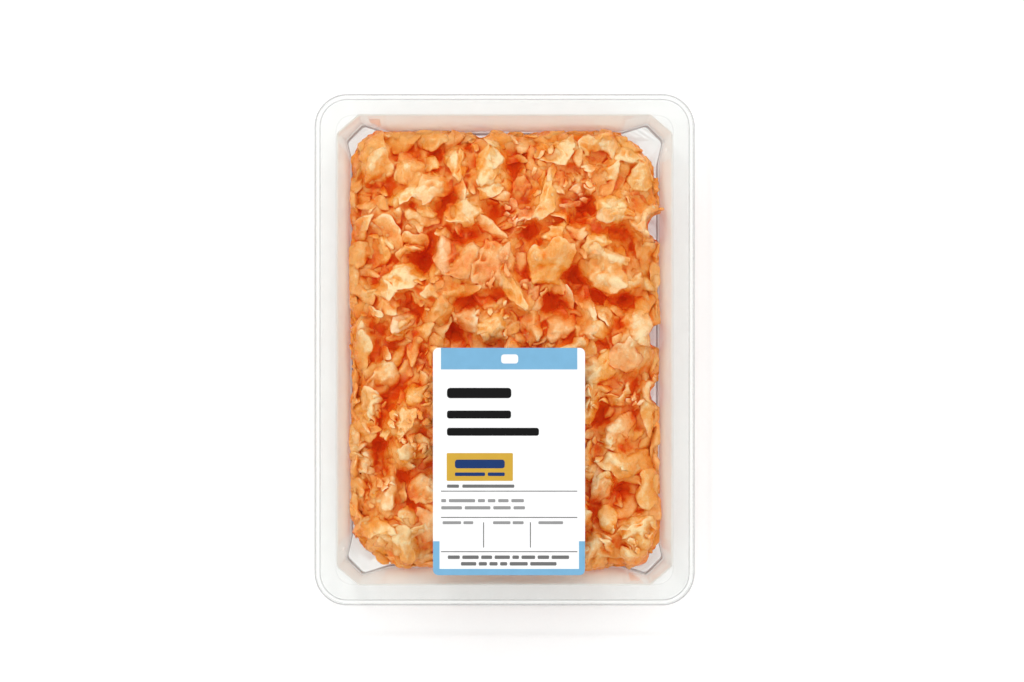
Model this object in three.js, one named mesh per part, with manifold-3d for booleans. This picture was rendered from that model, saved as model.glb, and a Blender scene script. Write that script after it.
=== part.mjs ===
// A sealed clear tray of flaked smoked salmon, with a paper price label on its film.
//
// Millimetres, +Z up. The origin is the middle of the tray's base, on the surface it stands on.
// X runs across the pack and Y along it. The label lies towards -Y and reads with +Y up.
import * as THREE from "three";
import { mergeVertices } from "three/addons/utils/BufferGeometryUtils.js";
import Module from "manifold-3d";

const wasm = await Module();
wasm.setup();

// The tray as a whole.
const PACK_WIDTH = 139;
const PACK_LENGTH = 187;
const SEAL_HEIGHT = 32;
const WALL = 0.6;
const CORNER_RADIUS = 12;
const CORNER_STEPS = 6;

// The flange, as distances in from the pack's outer edge and drops below the sealing face.
const SEAL_INSET = 2.6;
const GROOVE_INSET = 2.1;
const GROOVE_DROP = 0.5;
const CROWN_INSET = 1.2;
const CROWN_DROP = 0.1;
const SHOULDER_DROP = 1.3;
const LIP_DROP = 3.2;
const STEP_INSET = 8;
const STEP_RADIUS = 5.5;
const STEP_DROP = 0.75;

// The cavity's outline under the flange and at the floor. Its corners are cut off straight,
// and the long and short walls lean in further between the corners than at them.
const MOUTH = { halfWidth: 60.8, halfLength: 85.4, cutX: 7.6, cutY: 6.4, leanX: 0, leanY: 0 };
const FLOOR = { halfWidth: 58.8, halfLength: 83.6, cutX: 6, cutY: 6, leanX: 2, leanY: 3.2 };
const LEAN_END_X = 42.5;
const LEAN_END_Y = 68.7;

// The film and the label on it.
const FILM_THICKNESS = 0.25;
const FILM_CORNER = CORNER_RADIUS - SEAL_INSET;
const LABEL_THICKNESS = 0.25;
const LABEL_WIDTH = 55.5;
const LABEL_LENGTH = 83;
const LABEL_CORNER = 2;
const LABEL_X = 1.6;
const LABEL_Y = -40.8;
const FLAT_CURVE_STEPS = 8;

// The heap of flakes: how far it keeps from the tray and the film, and how high it stands.
const GAP = 0.35;
const HEAP_EDGE_LEVEL = 12.5;
const HEAP_RISE = 12;
const HEAP_SHOULDER = 20;
const HEAP_WAVE = 1.3;
const HEAP_WAVES = { acrossX: 0.13, shift: 1.1, alongY: 0.11, slantX: 0.07, slantY: 0.16 };
const HEAP_SIDE_INSET = 1.2;
const CORE_SINK = 3.6;
const CORE_COLUMNS = 9;
const CORE_ROWS = 13;
const CORE_EDGE_INSET = 3.5;
const CORE_LUMPS = { height: 2.6, firstX: 1.7, firstY: 0.9, secondX: 0.4, secondY: 1.3 };

// How much of each corner the heap leaves empty, and the gaps that it leaves along the walls.
const HEAP_CORNERS = [
  { sideX: 1, sideY: 1, radius: 21 },
  { sideX: -1, sideY: 1, radius: 13 },
  { sideX: -1, sideY: -1, radius: 22 },
  { sideX: 1, sideY: -1, radius: 12 },
];
const WALL_GAPS = [
  { x: 57, y: 45, radius: 4 },
  { x: 58, y: 5, radius: 4.5 },
  { x: -8.5, y: 82, radius: 3.2 },
  { x: 9, y: 83, radius: 2.6 },
];
const GAP_SIDES = 7;
const MERGE_DISTANCE = 1e-4;

// Sizes of the flakes that are laid at random, and how they lie.
const FLAKE_SEED = 20;
const FLAKE_PITCH = 13;
const FLAKE_LENGTH = [12, 21];
const FLAKE_SLIMNESS = [0.55, 0.85];
const FLAKE_THICKNESS = [4, 6.4];
const FLAKE_SINK = 0.3;
const FLAKE_STRAY = 0.35;
const FLAKE_TILT = 0.48;
const FLAKE_CURL = 1.2;
const FLAKE_LIFT = 0.8;
const FLAKE_EDGE_INSET = 2;
const FLAKE_CLEARANCE = 1;

// The flakes stacked round the side of the heap.
const SIDE_LEVELS = [4.6, 12];
const SIDE_PITCH = 22;
const SIDE_STRAY = 4;
const SIDE_LENGTH = [12, 19];
const SIDE_SLIMNESS = 0.6;
const SIDE_THICKNESS = 8;
const SIDE_DEPTH = 3.4;
const SIDE_LIFT = 1;
const SIDE_ROLL = 0.3;
const SIDE_SEARCH_STEP = 0.5;

// The form of a flake: few sides, a flat top smaller than its rim, and how uneven the rim is.
const FLAKE_SIDES = 6;
const FLAKE_BANDS = 3;
const FLAKE_POLE = 0.72;
const FLAKE_TOP_SHARE = 0.84;
const RIM_OVAL = 0.16;
const RIM_THREE_SIDED = 0.14;
const CURL_LEVEL = 0.4;

// The flakes that stand out on top of the heap: place, length and width, and turn in degrees.
const NOTABLE_FLAKES = [
  { x: 15, y: 56, length: 22, width: 7.5, turn: 70 },
  { x: -32, y: 59, length: 25, width: 9.5, turn: 22 },
  { x: -15, y: 52, length: 15, width: 8, turn: 22 },
  { x: -1, y: 72, length: 12, width: 9, turn: 100 },
  { x: 42, y: 55, length: 13, width: 9, turn: 0 },
  { x: 19.5, y: 43, length: 13, width: 10, turn: 35 },
  { x: 33, y: 39.5, length: 12, width: 6, turn: 12 },
  { x: 36, y: 30.5, length: 21, width: 15, turn: -25 },
  { x: 18, y: 31.5, length: 14, width: 13, turn: 60 },
  { x: 4, y: 26, length: 24, width: 7, turn: -58 },
  { x: -37, y: 27, length: 17, width: 12, turn: 35 },
  { x: -46, y: 21.5, length: 12, width: 9, turn: 10 },
  { x: -19.5, y: 22.5, length: 19, width: 8, turn: 5 },
  { x: 0, y: 11.5, length: 17, width: 14, turn: -30 },
  { x: 46, y: -43, length: 22, width: 9, turn: 8 },
  { x: 46, y: 9, length: 17, width: 14, turn: 20 },
  { x: 35, y: -6, length: 14, width: 9, turn: 65 },
  { x: -49, y: -21, length: 14, width: 11, turn: 40 },
  { x: -37, y: -31, length: 19, width: 14, turn: 80 },
  { x: -34.5, y: 38, length: 11, width: 7, turn: 20 },
  { x: -20.5, y: 37, length: 12, width: 10, turn: 45 },
  { x: 37.5, y: -32, length: 14, width: 6, turn: 75 },
  { x: 50, y: -68, length: 13, width: 11, turn: 30 },
  { x: 35, y: -77, length: 11, width: 8, turn: 90 },
  { x: -49, y: 63, length: 16, width: 11, turn: 80 },
  { x: -33, y: 76, length: 14, width: 8, turn: 0 },
  { x: -43, y: -52, length: 15, width: 10, turn: 70 },
  { x: -35, y: -74, length: 15, width: 8, turn: 100 },
];
const NOTABLE_THICKNESS = 5.4;
const NOTABLE_LIFT = 0.8;
const NOTABLE_TILT = 0.18;
const NOTABLE_CURL = -0.9;

// A seeded draw of numbers from 0 to 1, so that the heap is the same each time.
function seededDraw(seed) {
  let state = seed >>> 0;
  return () => {
    state = (state + 0x6d2b79f5) >>> 0;
    let mixed = Math.imul(state ^ (state >>> 15), state | 1);
    mixed ^= mixed + Math.imul(mixed ^ (mixed >>> 7), mixed | 61);
    return ((mixed ^ (mixed >>> 14)) >>> 0) / 4294967296;
  };
}

const between = ([low, high], share) => low + (high - low) * share;

// A share from 0 to 1 turned into a distance to either side of nought.
const eitherSide = (most, share) => most * (2 * share - 1);

// A closed outline from the points of its +X +Y quarter, mirrored into the other three.
function outline(quarter, z) {
  const back = [...quarter].reverse();
  return [
    ...quarter.map(([x, y]) => [x, y, z]),
    ...back.map(([x, y]) => [-x, y, z]),
    ...quarter.map(([x, y]) => [-x, -y, z]),
    ...back.map(([x, y]) => [x, -y, z]),
  ];
}

// An outline of the flange: the pack's outer rectangle drawn in by inset, with round corners.
function flangeOutline(inset, drop, radius = CORNER_RADIUS - inset) {
  const halfWidth = PACK_WIDTH / 2 - inset;
  const halfLength = PACK_LENGTH / 2 - inset;
  const corner = Array.from({ length: CORNER_STEPS + 1 }, (_, step) => {
    const angle = (step / CORNER_STEPS) * (Math.PI / 2);
    return [
      halfWidth - radius + radius * Math.cos(angle),
      halfLength - radius + radius * Math.sin(angle),
    ];
  });
  return outline([[halfWidth, LEAN_END_Y], ...corner, [LEAN_END_X, halfLength]], SEAL_HEIGHT - drop);
}

// An outline of the cavity, moved out by grow, with its cut corner in the given number of steps.
function cavityOutline(shape, z, grow, steps) {
  const halfWidth = shape.halfWidth + grow;
  const halfLength = shape.halfLength + grow;
  const cutGrowth = grow * (2 - Math.SQRT2);
  const cutX = shape.cutX + cutGrowth;
  const cutY = shape.cutY + cutGrowth;
  const corner = Array.from({ length: steps + 1 }, (_, step) => [
    halfWidth - (cutX * step) / steps,
    halfLength - (cutY * (steps - step)) / steps,
  ]);
  const longWall = [halfWidth - shape.leanX, LEAN_END_Y];
  const shortWall = [LEAN_END_X, halfLength - shape.leanY];
  return outline([longWall, ...corner, shortWall], z);
}

// A closed body through a row of outlines that have as many points each, capped at both ends.
function loft(rings) {
  const count = rings[0].length;
  const points = rings.flat();
  const first = points.push([0, 0, rings[0][0][2]]) - 1;
  const last = points.push([0, 0, rings.at(-1)[0][2]]) - 1;
  const faces = [];
  for (let step = 0; step < count; step++) {
    const next = (step + 1) % count;
    const top = (rings.length - 1) * count;
    faces.push(first, next, step);
    faces.push(last, top + step, top + next);
    for (let ring = 0; ring < rings.length - 1; ring++) {
      const low = ring * count;
      const high = low + count;
      faces.push(low + step, low + next, high + next);
      faces.push(low + step, high + next, high + step);
    }
  }
  const geometry = new THREE.BufferGeometry();
  geometry.setAttribute("position", new THREE.Float32BufferAttribute(points.flat(), 3));
  geometry.setIndex(faces);
  return geometry;
}

// The tray, from the underside of its base out over the lip and back down to its floor.
function trayGeometry() {
  return loft([
    cavityOutline(FLOOR, 0, WALL, CORNER_STEPS),
    cavityOutline(MOUTH, SEAL_HEIGHT - STEP_DROP - WALL, WALL, CORNER_STEPS),
    flangeOutline(STEP_INSET - WALL, WALL, STEP_RADIUS + WALL),
    flangeOutline(SEAL_INSET + WALL / 2, WALL),
    flangeOutline(GROOVE_INSET, GROOVE_DROP + WALL),
    flangeOutline(CROWN_INSET, CROWN_DROP + WALL),
    flangeOutline(WALL, SHOULDER_DROP + WALL / 2),
    flangeOutline(WALL, LIP_DROP),
    flangeOutline(0, LIP_DROP),
    flangeOutline(0, SHOULDER_DROP),
    flangeOutline(CROWN_INSET, CROWN_DROP),
    flangeOutline(GROOVE_INSET, GROOVE_DROP),
    flangeOutline(SEAL_INSET, 0),
    flangeOutline(STEP_INSET, 0, STEP_RADIUS),
    cavityOutline(MOUTH, SEAL_HEIGHT - STEP_DROP, 0, CORNER_STEPS),
    cavityOutline(FLOOR, WALL, 0, CORNER_STEPS),
  ]);
}

// A flat sheet with round corners, its middle at the origin and its underside at z = 0.
function sheetGeometry(width, length, radius, thickness) {
  const right = width / 2;
  const top = length / 2;
  const shape = new THREE.Shape();
  shape.moveTo(right, radius - top);
  shape.absarc(right - radius, top - radius, radius, 0, Math.PI / 2);
  shape.absarc(radius - right, top - radius, radius, Math.PI / 2, Math.PI);
  shape.absarc(radius - right, radius - top, radius, Math.PI, Math.PI * 1.5);
  shape.absarc(right - radius, radius - top, radius, Math.PI * 1.5, Math.PI * 2);
  return new THREE.ExtrudeGeometry(shape, {
    depth: thickness,
    bevelEnabled: false,
    curveSegments: FLAT_CURVE_STEPS,
  });
}

// How far a point lies inside the heap's outline seen from above; below zero it is outside.
function insideHeap(x, y) {
  const right = FLOOR.halfWidth - FLOOR.leanX - HEAP_SIDE_INSET;
  const top = FLOOR.halfLength - FLOOR.leanY - HEAP_SIDE_INSET;
  const corner = HEAP_CORNERS.find(({ sideX, sideY }) => sideX * x >= 0 && sideY * y >= 0);
  const beyondX = Math.abs(x) - (right - corner.radius);
  const beyondY = Math.abs(y) - (top - corner.radius);
  const toSides = Math.min(right - Math.abs(x), top - Math.abs(y));
  return beyondX > 0 && beyondY > 0 ? corner.radius - Math.hypot(beyondX, beyondY) : toSides;
}

// The heap's height above the base: a low rise in the middle, with long uneven waves.
function heapHeight(x, y) {
  const inward = Math.min(1, Math.max(0, insideHeap(x, y) / HEAP_SHOULDER));
  const rise = inward * inward * (3 - 2 * inward);
  const { acrossX, shift, alongY, slantX, slantY } = HEAP_WAVES;
  const square = Math.sin(x * acrossX + shift) * Math.cos(y * alongY);
  const slanted = Math.sin(x * slantX - y * slantY);
  return HEAP_EDGE_LEVEL + HEAP_RISE * rise + HEAP_WAVE * (square + slanted);
}

// The core under the flakes: a lumpy block whose top follows the heap, a few millimetres lower.
function coreGeometry() {
  const width = 2 * (FLOOR.halfWidth - FLOOR.leanX - CORE_EDGE_INSET);
  const length = 2 * (FLOOR.halfLength - FLOOR.leanY - CORE_EDGE_INSET);
  const geometry = new THREE.BoxGeometry(width, length, 1, CORE_COLUMNS, CORE_ROWS, 1);
  const places = geometry.attributes.position;
  const { height, firstX, firstY, secondX, secondY } = CORE_LUMPS;
  for (let i = 0; i < places.count; i++) {
    const isTop = places.getZ(i) > 0;
    const gridX = places.getX(i);
    const gridY = places.getY(i);
    const lump = Math.sin(gridX * firstX + gridY * firstY) * Math.cos(gridY * secondY - gridX * secondX);
    const outside = Math.max(0, CORE_EDGE_INSET - insideHeap(gridX, gridY));
    const draw = 1 - outside / Math.hypot(gridX, gridY);
    const x = gridX * draw;
    const y = gridY * draw;
    places.setXYZ(i, x, y, isTop ? heapHeight(x, y) - CORE_SINK + height * lump : WALL + GAP);
  }
  return geometry;
}

// One flake with few sides: a squashed ball with an uneven rim, curled along its length.
function flakeGeometry({ x, y, z, length, width, thickness, turn, tilt, roll, phase, curl }) {
  const geometry = new THREE.SphereGeometry(1, FLAKE_SIDES, FLAKE_BANDS).rotateX(Math.PI / 2);
  const places = geometry.attributes.position;
  for (let i = 0; i < places.count; i++) {
    const around = Math.atan2(places.getY(i), places.getX(i));
    const slope = places.getZ(i) > 0 ? FLAKE_TOP_SHARE : 1;
    const oval = RIM_OVAL * Math.sin(2 * around + phase);
    const threeSided = RIM_THREE_SIDED * Math.sin(3 * around + 2 * phase);
    const rim = slope * (1 + oval + threeSided);
    const along = places.getX(i) * rim;
    const height = THREE.MathUtils.clamp(places.getZ(i), -FLAKE_POLE, FLAKE_POLE);
    places.setXYZ(
      i,
      (along * length) / 2,
      (places.getY(i) * rim * width) / 2,
      (height * thickness) / 2 / FLAKE_POLE + curl * (along * along - CURL_LEVEL),
    );
  }
  const lie = new THREE.Euler(roll, tilt, turn, "ZYX");
  geometry.applyMatrix4(new THREE.Matrix4().makeRotationFromEuler(lie).setPosition(x, y, z));
  return geometry;
}

// True where one of the flakes that stand out already lies.
function isTaken(x, y) {
  return NOTABLE_FLAKES.some(
    (flake) => Math.hypot(flake.x - x, flake.y - y) < flake.width / 2 + FLAKE_CLEARANCE,
  );
}

// The flakes laid at random over the whole top of the heap.
function topFlakes(draw) {
  const flakes = [];
  const columns = Math.round((2 * FLOOR.halfWidth) / FLAKE_PITCH);
  const rows = Math.round((2 * FLOOR.halfLength) / FLAKE_PITCH);
  for (let row = 0; row < rows; row++) {
    for (let column = 0; column < columns; column++) {
      const x = (column - (columns - 1) / 2 + eitherSide(FLAKE_STRAY, draw())) * FLAKE_PITCH;
      const y = (row - (rows - 1) / 2 + eitherSide(FLAKE_STRAY, draw())) * FLAKE_PITCH;
      const length = between(FLAKE_LENGTH, draw());
      const width = length * between(FLAKE_SLIMNESS, draw());
      const thickness = between(FLAKE_THICKNESS, draw());
      const turn = draw() * Math.PI * 2;
      const tilt = eitherSide(FLAKE_TILT, draw());
      const roll = eitherSide(FLAKE_TILT, draw());
      const phase = draw() * Math.PI * 2;
      const curl = eitherSide(FLAKE_CURL, draw());
      const z = heapHeight(x, y) - thickness * FLAKE_SINK + eitherSide(FLAKE_LIFT, draw());
      if (insideHeap(x, y) > FLAKE_EDGE_INSET && !isTaken(x, y)) {
        flakes.push({ x, y, z, length, width, thickness, turn, tilt, roll, phase, curl });
      }
    }
  }
  return flakes;
}

// The flakes stacked round the heap's side, which show through the walls.
function sideFlakes(draw) {
  const flakes = [];
  const around = 4 * (FLOOR.halfWidth + FLOOR.halfLength);
  for (const level of SIDE_LEVELS) {
    for (let run = 0; run < around; run += SIDE_PITCH) {
      const angle = ((run + draw() * SIDE_STRAY) / around) * Math.PI * 2;
      const length = between(SIDE_LENGTH, draw());
      const lift = eitherSide(SIDE_LIFT, draw());
      const phase = draw() * Math.PI * 2;
      const roll = eitherSide(SIDE_ROLL, draw());
      // Walks out from the middle until the heap's outline is as near as a flake lies to it.
      let out = 0;
      while (insideHeap(out * Math.cos(angle), out * Math.sin(angle)) > SIDE_DEPTH) {
        out += SIDE_SEARCH_STEP;
      }
      const x = out * Math.cos(angle);
      const y = out * Math.sin(angle);
      const alongLongWall = Math.abs(x) / FLOOR.halfWidth > Math.abs(y) / FLOOR.halfLength;
      flakes.push({
        x,
        y,
        z: level + lift,
        length,
        width: length * SIDE_SLIMNESS,
        thickness: SIDE_THICKNESS,
        turn: alongLongWall ? Math.PI / 2 : 0,
        tilt: 0,
        roll,
        phase,
        curl: 0,
      });
    }
  }
  return flakes;
}

// The flakes that stand out on top, each laid on the heap with a little tilt of its own.
function notableFlakes(draw) {
  return NOTABLE_FLAKES.map(({ x, y, length, width, turn }) => ({
    x,
    y,
    z: heapHeight(x, y) - NOTABLE_THICKNESS * FLAKE_SINK + NOTABLE_LIFT,
    length,
    width,
    thickness: NOTABLE_THICKNESS,
    turn: THREE.MathUtils.degToRad(turn),
    tilt: eitherSide(NOTABLE_TILT, draw()),
    roll: eitherSide(NOTABLE_TILT, draw()),
    phase: draw() * Math.PI * 2,
    curl: NOTABLE_CURL,
  }));
}

// A closed mesh as a solid that can be joined and cut.
function solidOf(geometry) {
  const bare = geometry.index ? geometry.toNonIndexed() : geometry.clone();
  bare.deleteAttribute("normal");
  bare.deleteAttribute("uv");
  const merged = mergeVertices(bare, MERGE_DISTANCE);
  return new wasm.Manifold(
    new wasm.Mesh({
      numProp: 3,
      vertProperties: merged.attributes.position.array,
      triVerts: new Uint32Array(merged.index.array),
    }),
  );
}

// A solid as a three.js geometry again.
function geometryOf(solid) {
  const { vertProperties, triVerts } = solid.getMesh();
  const geometry = new THREE.BufferGeometry();
  geometry.setAttribute("position", new THREE.BufferAttribute(vertProperties, 3));
  geometry.setIndex(new THREE.BufferAttribute(triVerts, 1));
  geometry.computeVertexNormals();
  return geometry;
}

// The room that the heap may fill: the cavity and the space under the film, less the gap.
function heapRoom() {
  return loft([
    cavityOutline(FLOOR, WALL + GAP, -GAP, 1),
    cavityOutline(MOUTH, SEAL_HEIGHT - STEP_DROP, -GAP, 1),
  ]);
}

// The heap: core and flakes fused, trimmed to the tray, with the gaps along the walls cut out.
function heapGeometry() {
  const draw = seededDraw(FLAKE_SEED);
  const flakes = [...topFlakes(draw), ...sideFlakes(draw), ...notableFlakes(draw)];
  let heap = solidOf(coreGeometry());
  for (const flake of flakes) heap = heap.add(solidOf(flakeGeometry(flake)));
  heap = heap.intersect(solidOf(heapRoom()));
  for (const { x, y, radius } of WALL_GAPS) {
    const hole = new THREE.CylinderGeometry(radius, radius, 2 * SEAL_HEIGHT, GAP_SIDES);
    heap = heap.subtract(solidOf(hole.rotateX(Math.PI / 2).translate(x, y, SEAL_HEIGHT)));
  }
  // The largest body is the heap itself. Loose scraps cut off by the trimming are dropped.
  const bodies = heap.decompose().sort((a, b) => b.volume() - a.volume());
  return geometryOf(bodies[0]);
}

const clearPlastic = new THREE.MeshStandardMaterial({
  color: "#ecece7",
  roughness: 0.12,
  metalness: 0,
  transparent: true,
  opacity: 0.3,
});
const clearFilm = new THREE.MeshStandardMaterial({
  color: "#ffffff",
  roughness: 0.06,
  metalness: 0,
  transparent: true,
  opacity: 0.12,
});
const labelPaper = new THREE.MeshStandardMaterial({ color: "#fdfdfd", roughness: 0.6, metalness: 0 });
const salmon = new THREE.MeshStandardMaterial({ color: "#e8944f", roughness: 0.4, metalness: 0 });

const pack = new THREE.Group();

function addPart(name, geometry, material, x = 0, y = 0, z = 0) {
  const mesh = new THREE.Mesh(geometry, material);
  mesh.name = name;
  mesh.position.set(x, y, z);
  pack.add(mesh);
}

const filmWidth = PACK_WIDTH - 2 * SEAL_INSET;
const filmLength = PACK_LENGTH - 2 * SEAL_INSET;
const film = sheetGeometry(filmWidth, filmLength, FILM_CORNER, FILM_THICKNESS);
const label = sheetGeometry(LABEL_WIDTH, LABEL_LENGTH, LABEL_CORNER, LABEL_THICKNESS);

addPart("tray", trayGeometry(), clearPlastic);
addPart("salmon_heap", heapGeometry(), salmon);
addPart("film", film, clearFilm, 0, 0, SEAL_HEIGHT);
addPart("label", label, labelPaper, LABEL_X, LABEL_Y, SEAL_HEIGHT + FILM_THICKNESS);

export default pack;
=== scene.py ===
# %% [markdown]
# A sealed pack of smoked salmon flakes, step by step.
# The pack is a clear tray with a film welded over it, a paper label on the film, and a heap of
# torn fish inside. The sizes come from a construction model that is loaded first and never moved:
# every piece made here takes the place of one of its plain solids, or lies on such a piece.

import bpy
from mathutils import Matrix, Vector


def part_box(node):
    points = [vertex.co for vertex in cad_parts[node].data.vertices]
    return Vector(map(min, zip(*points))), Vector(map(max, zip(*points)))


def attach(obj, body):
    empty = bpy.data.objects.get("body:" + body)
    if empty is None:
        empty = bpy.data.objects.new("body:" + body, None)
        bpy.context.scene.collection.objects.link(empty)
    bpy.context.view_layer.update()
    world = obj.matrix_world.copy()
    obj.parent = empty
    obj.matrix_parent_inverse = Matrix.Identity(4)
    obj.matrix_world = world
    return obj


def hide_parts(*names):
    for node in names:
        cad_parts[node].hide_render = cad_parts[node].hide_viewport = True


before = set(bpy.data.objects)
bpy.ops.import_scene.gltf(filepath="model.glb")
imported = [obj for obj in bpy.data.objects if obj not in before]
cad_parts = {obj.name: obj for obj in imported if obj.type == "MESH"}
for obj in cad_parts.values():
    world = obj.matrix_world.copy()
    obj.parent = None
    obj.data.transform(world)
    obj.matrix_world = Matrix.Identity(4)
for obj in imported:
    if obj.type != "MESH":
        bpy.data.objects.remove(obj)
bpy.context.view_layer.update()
print("nodes:", sorted(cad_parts))

# %% [markdown]
# A maker of trays thinks in millimetres and Blender in metres. All shapes below are worked out in
# millimetres with numpy, which moves thousands of points at once, and only the last step, when a
# mesh is made, turns them into metres.

# %% Read the sizes of the pack
import math

import bpy
import numpy as np
from mathutils import Vector
from mathutils.geometry import delaunay_2d_cdt

MM = 0.001


def box_mm(node):
    """Lowest and highest corner of a construction node, in millimetres."""
    low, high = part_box(node)
    return np.array(low) / MM, np.array(high) / MM


tray_low, tray_high = box_mm("tray")
film_low, film_high = box_mm("film")
label_low, label_high = box_mm("label")
PACK_WIDTH, PACK_LENGTH, SEAL_HEIGHT = tray_high - tray_low * (1, 1, 0)
print("pack", PACK_WIDTH, PACK_LENGTH, SEAL_HEIGHT)

# %% [markdown]
# Every piece goes through the same last step: points and faces become a mesh, the mesh gets its
# materials and smooth shading, and the piece is told which body it rides on. One function does
# that for all of them.

# %% Turn points and faces into a piece
def make_piece(name, points, faces, materials, replaces=None):
    """A smooth mesh object in the pack's frame, from points in millimetres."""
    mesh = bpy.data.meshes.new(name)
    mesh.from_pydata((np.asarray(points) * MM).tolist(), [], faces)
    mesh.polygons.foreach_set("use_smooth", [True] * len(mesh.polygons))
    for material in materials:
        mesh.materials.append(material)
    mesh.update()
    piece = bpy.data.objects.new(name, mesh)
    bpy.context.scene.collection.objects.link(piece)
    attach(piece, "root")
    if replaces:
        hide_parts(replaces)
    return piece


def paint(piece, name, values):
    """Stores one number for each vertex, which a material reads by this name."""
    layer = piece.data.attributes.new(name, "FLOAT", "POINT")
    layer.data.foreach_set("value", np.asarray(values, dtype=np.float32))


print("millimetres in a metre:", round(1 / MM))

# %% [markdown]
# A material is a small graph of nodes. Writing it out in Python takes many lines for each node,
# so a little class starts a material with Blender's main surface shader, the Principled BSDF,
# and adds, links and fills nodes. It is called a recipe, because a finish is mixed from parts.

# %% Start a material
class Recipe:
    """A material's node graph, built one node at a time."""

    def __init__(self, name, **surface):
        self.material = bpy.data.materials.new(name)
        self.material.use_nodes = True
        self.tree = self.material.node_tree
        self.surface = self.tree.nodes["Principled BSDF"]
        self.output = self.tree.nodes["Material Output"]
        self.place = self.add("ShaderNodeTexCoord").outputs["Object"]
        for socket, value in surface.items():
            self.surface.inputs[socket.replace("_", " ")].default_value = value

    def add(self, kind, **settings):
        node = self.tree.nodes.new(kind)
        for name, value in settings.items():
            setattr(node, name, value)
        return node

    def join(self, start, end):
        self.tree.links.new(start, end)

    def feed(self, node, inputs):
        """Links or sets each input of a node, by its place in the node's list or its name."""
        for place, value in inputs.items():
            if isinstance(value, bpy.types.NodeSocket):
                self.join(value, node.inputs[place])
            else:
                node.inputs[place].default_value = value


print("a recipe can:", [name for name in vars(Recipe) if not name.startswith("_")])

# %% [markdown]
# Three kinds of node are needed again and again. Noise makes a surface uneven. It reads the
# object's own coordinates in metres, so its scale is the number of lumps in a metre, and it can
# be stretched. A ramp turns its numbers into colours, and a bump tips the surface by them.

# %% Noise, colour ramps and bumps
def noise(recipe, per_metre, detail=2.0, roughness=0.5, stretch=(1, 1, 1)):
    mapping = recipe.add("ShaderNodeMapping")
    mapping.inputs["Scale"].default_value = stretch
    recipe.join(recipe.place, mapping.inputs["Vector"])
    node = recipe.add("ShaderNodeTexNoise")
    recipe.join(mapping.outputs["Vector"], node.inputs["Vector"])
    recipe.feed(node, {"Scale": per_metre, "Detail": detail, "Roughness": roughness})
    return node.outputs["Fac"]


def ramp(recipe, value, stops):
    """Colours along a value: stops are (place, (red, green, blue))."""
    node = recipe.add("ShaderNodeValToRGB")
    elements = node.color_ramp.elements
    while len(elements) < len(stops):
        elements.new(0.5)
    for element, (place, colour) in zip(elements, stops):
        element.position = place
        element.color = (*colour, 1.0)
    recipe.join(value, node.inputs["Fac"])
    return node.outputs["Color"]


def bump(recipe, height, depth_mm, before=None):
    node = recipe.add("ShaderNodeBump")
    recipe.feed(node, {"Distance": depth_mm * MM, "Strength": 1.0, "Height": height})
    if before is not None:
        recipe.join(before, node.inputs["Normal"])
    return node.outputs["Normal"]


print("a bump one millimetre deep is", MM, "for Blender")

# %% [markdown]
# The photographer looks straight down on the pack from well above it, with a long lens, so that
# the walls hardly spread. The camera stands 1.6 m over the film and a little off the pack's
# middle, because the pack isn't quite in the middle of the picture.

# %% Place the camera
CAMERA_ABOVE_FILM = 1600
CAMERA_X = 2.7
CAMERA_Y = 3.2
SEEN_WIDTH = 374
SENSOR_WIDTH = 36

camera = bpy.data.objects.new("camera", bpy.data.cameras.new("camera"))
bpy.context.scene.collection.objects.link(camera)
camera.location = Vector((CAMERA_X, CAMERA_Y, SEAL_HEIGHT + CAMERA_ABOVE_FILM)) * MM
camera.data.sensor_width = SENSOR_WIDTH
camera.data.lens = SENSOR_WIDTH * CAMERA_ABOVE_FILM / SEEN_WIDTH
bpy.context.scene.camera = camera
print("lens", round(camera.data.lens, 1), "mm")

# %% [markdown]
# The light is that of a packshot table: soft and from all sides. Large lamps could give it, but a
# white room is simpler, and Blender's world is one. It is a little brighter towards the pack's
# upper end. Its ceiling over the camera is darker, so that the film doesn't mirror white.

# %% A white room
ROOM_LIGHT = 1.31
CEILING_LIGHT = 0.5
CEILING_STARTS = 0.72
CEILING_FULL = 0.97
BRIGHT_SIDE = (-0.03, 0.14, 0.0)


def light_room():
    """White walls all round, brightest at the pack's upper end, and a darker ceiling."""
    room = bpy.data.worlds.new("white room")
    room.use_nodes = True
    tree = room.node_tree
    place = tree.nodes.new("ShaderNodeTexCoord").outputs["Generated"]
    split = tree.nodes.new("ShaderNodeSeparateXYZ")
    tree.links.new(place, split.inputs[0])
    fade = tree.nodes.new("ShaderNodeMapRange")
    levels = (CEILING_STARTS, CEILING_FULL, ROOM_LIGHT, CEILING_LIGHT)
    for socket, value in zip(fade.inputs[1:5], levels):
        socket.default_value = value
    tree.links.new(split.outputs["Z"], fade.inputs[0])
    lean = tree.nodes.new("ShaderNodeVectorMath")
    lean.operation = "DOT_PRODUCT"
    lean.inputs[1].default_value = BRIGHT_SIDE
    tree.links.new(place, lean.inputs[0])
    strength = tree.nodes.new("ShaderNodeMath")
    strength.operation = "MULTIPLY_ADD"
    tree.links.new(lean.outputs["Value"], strength.inputs[0])
    tree.links.new(fade.outputs[0], strength.inputs[1])
    tree.links.new(fade.outputs[0], strength.inputs[2])
    background = tree.nodes["Background"]
    background.inputs["Color"].default_value = (1.0, 1.0, 1.0, 1.0)
    tree.links.new(strength.outputs[0], background.inputs["Strength"])
    return room


bpy.context.scene.world = light_room()
print("world:", bpy.context.scene.world.name)

# %% [markdown]
# One small lamp from the upper left adds the wet glints on the fish. Each time light bounces from
# flake to flake it turns more orange, so it may bounce more often than Blender allows at first.
# The Standard view transform keeps whites white and oranges as orange as they are.

# %% A lamp for the glints
LAMP_PLACE = Vector((-0.28, 0.5, 1.4))
LAMP_SIZE = 0.08
LAMP_POWER = 2.2
DIFFUSE_BOUNCES = 8


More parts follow.
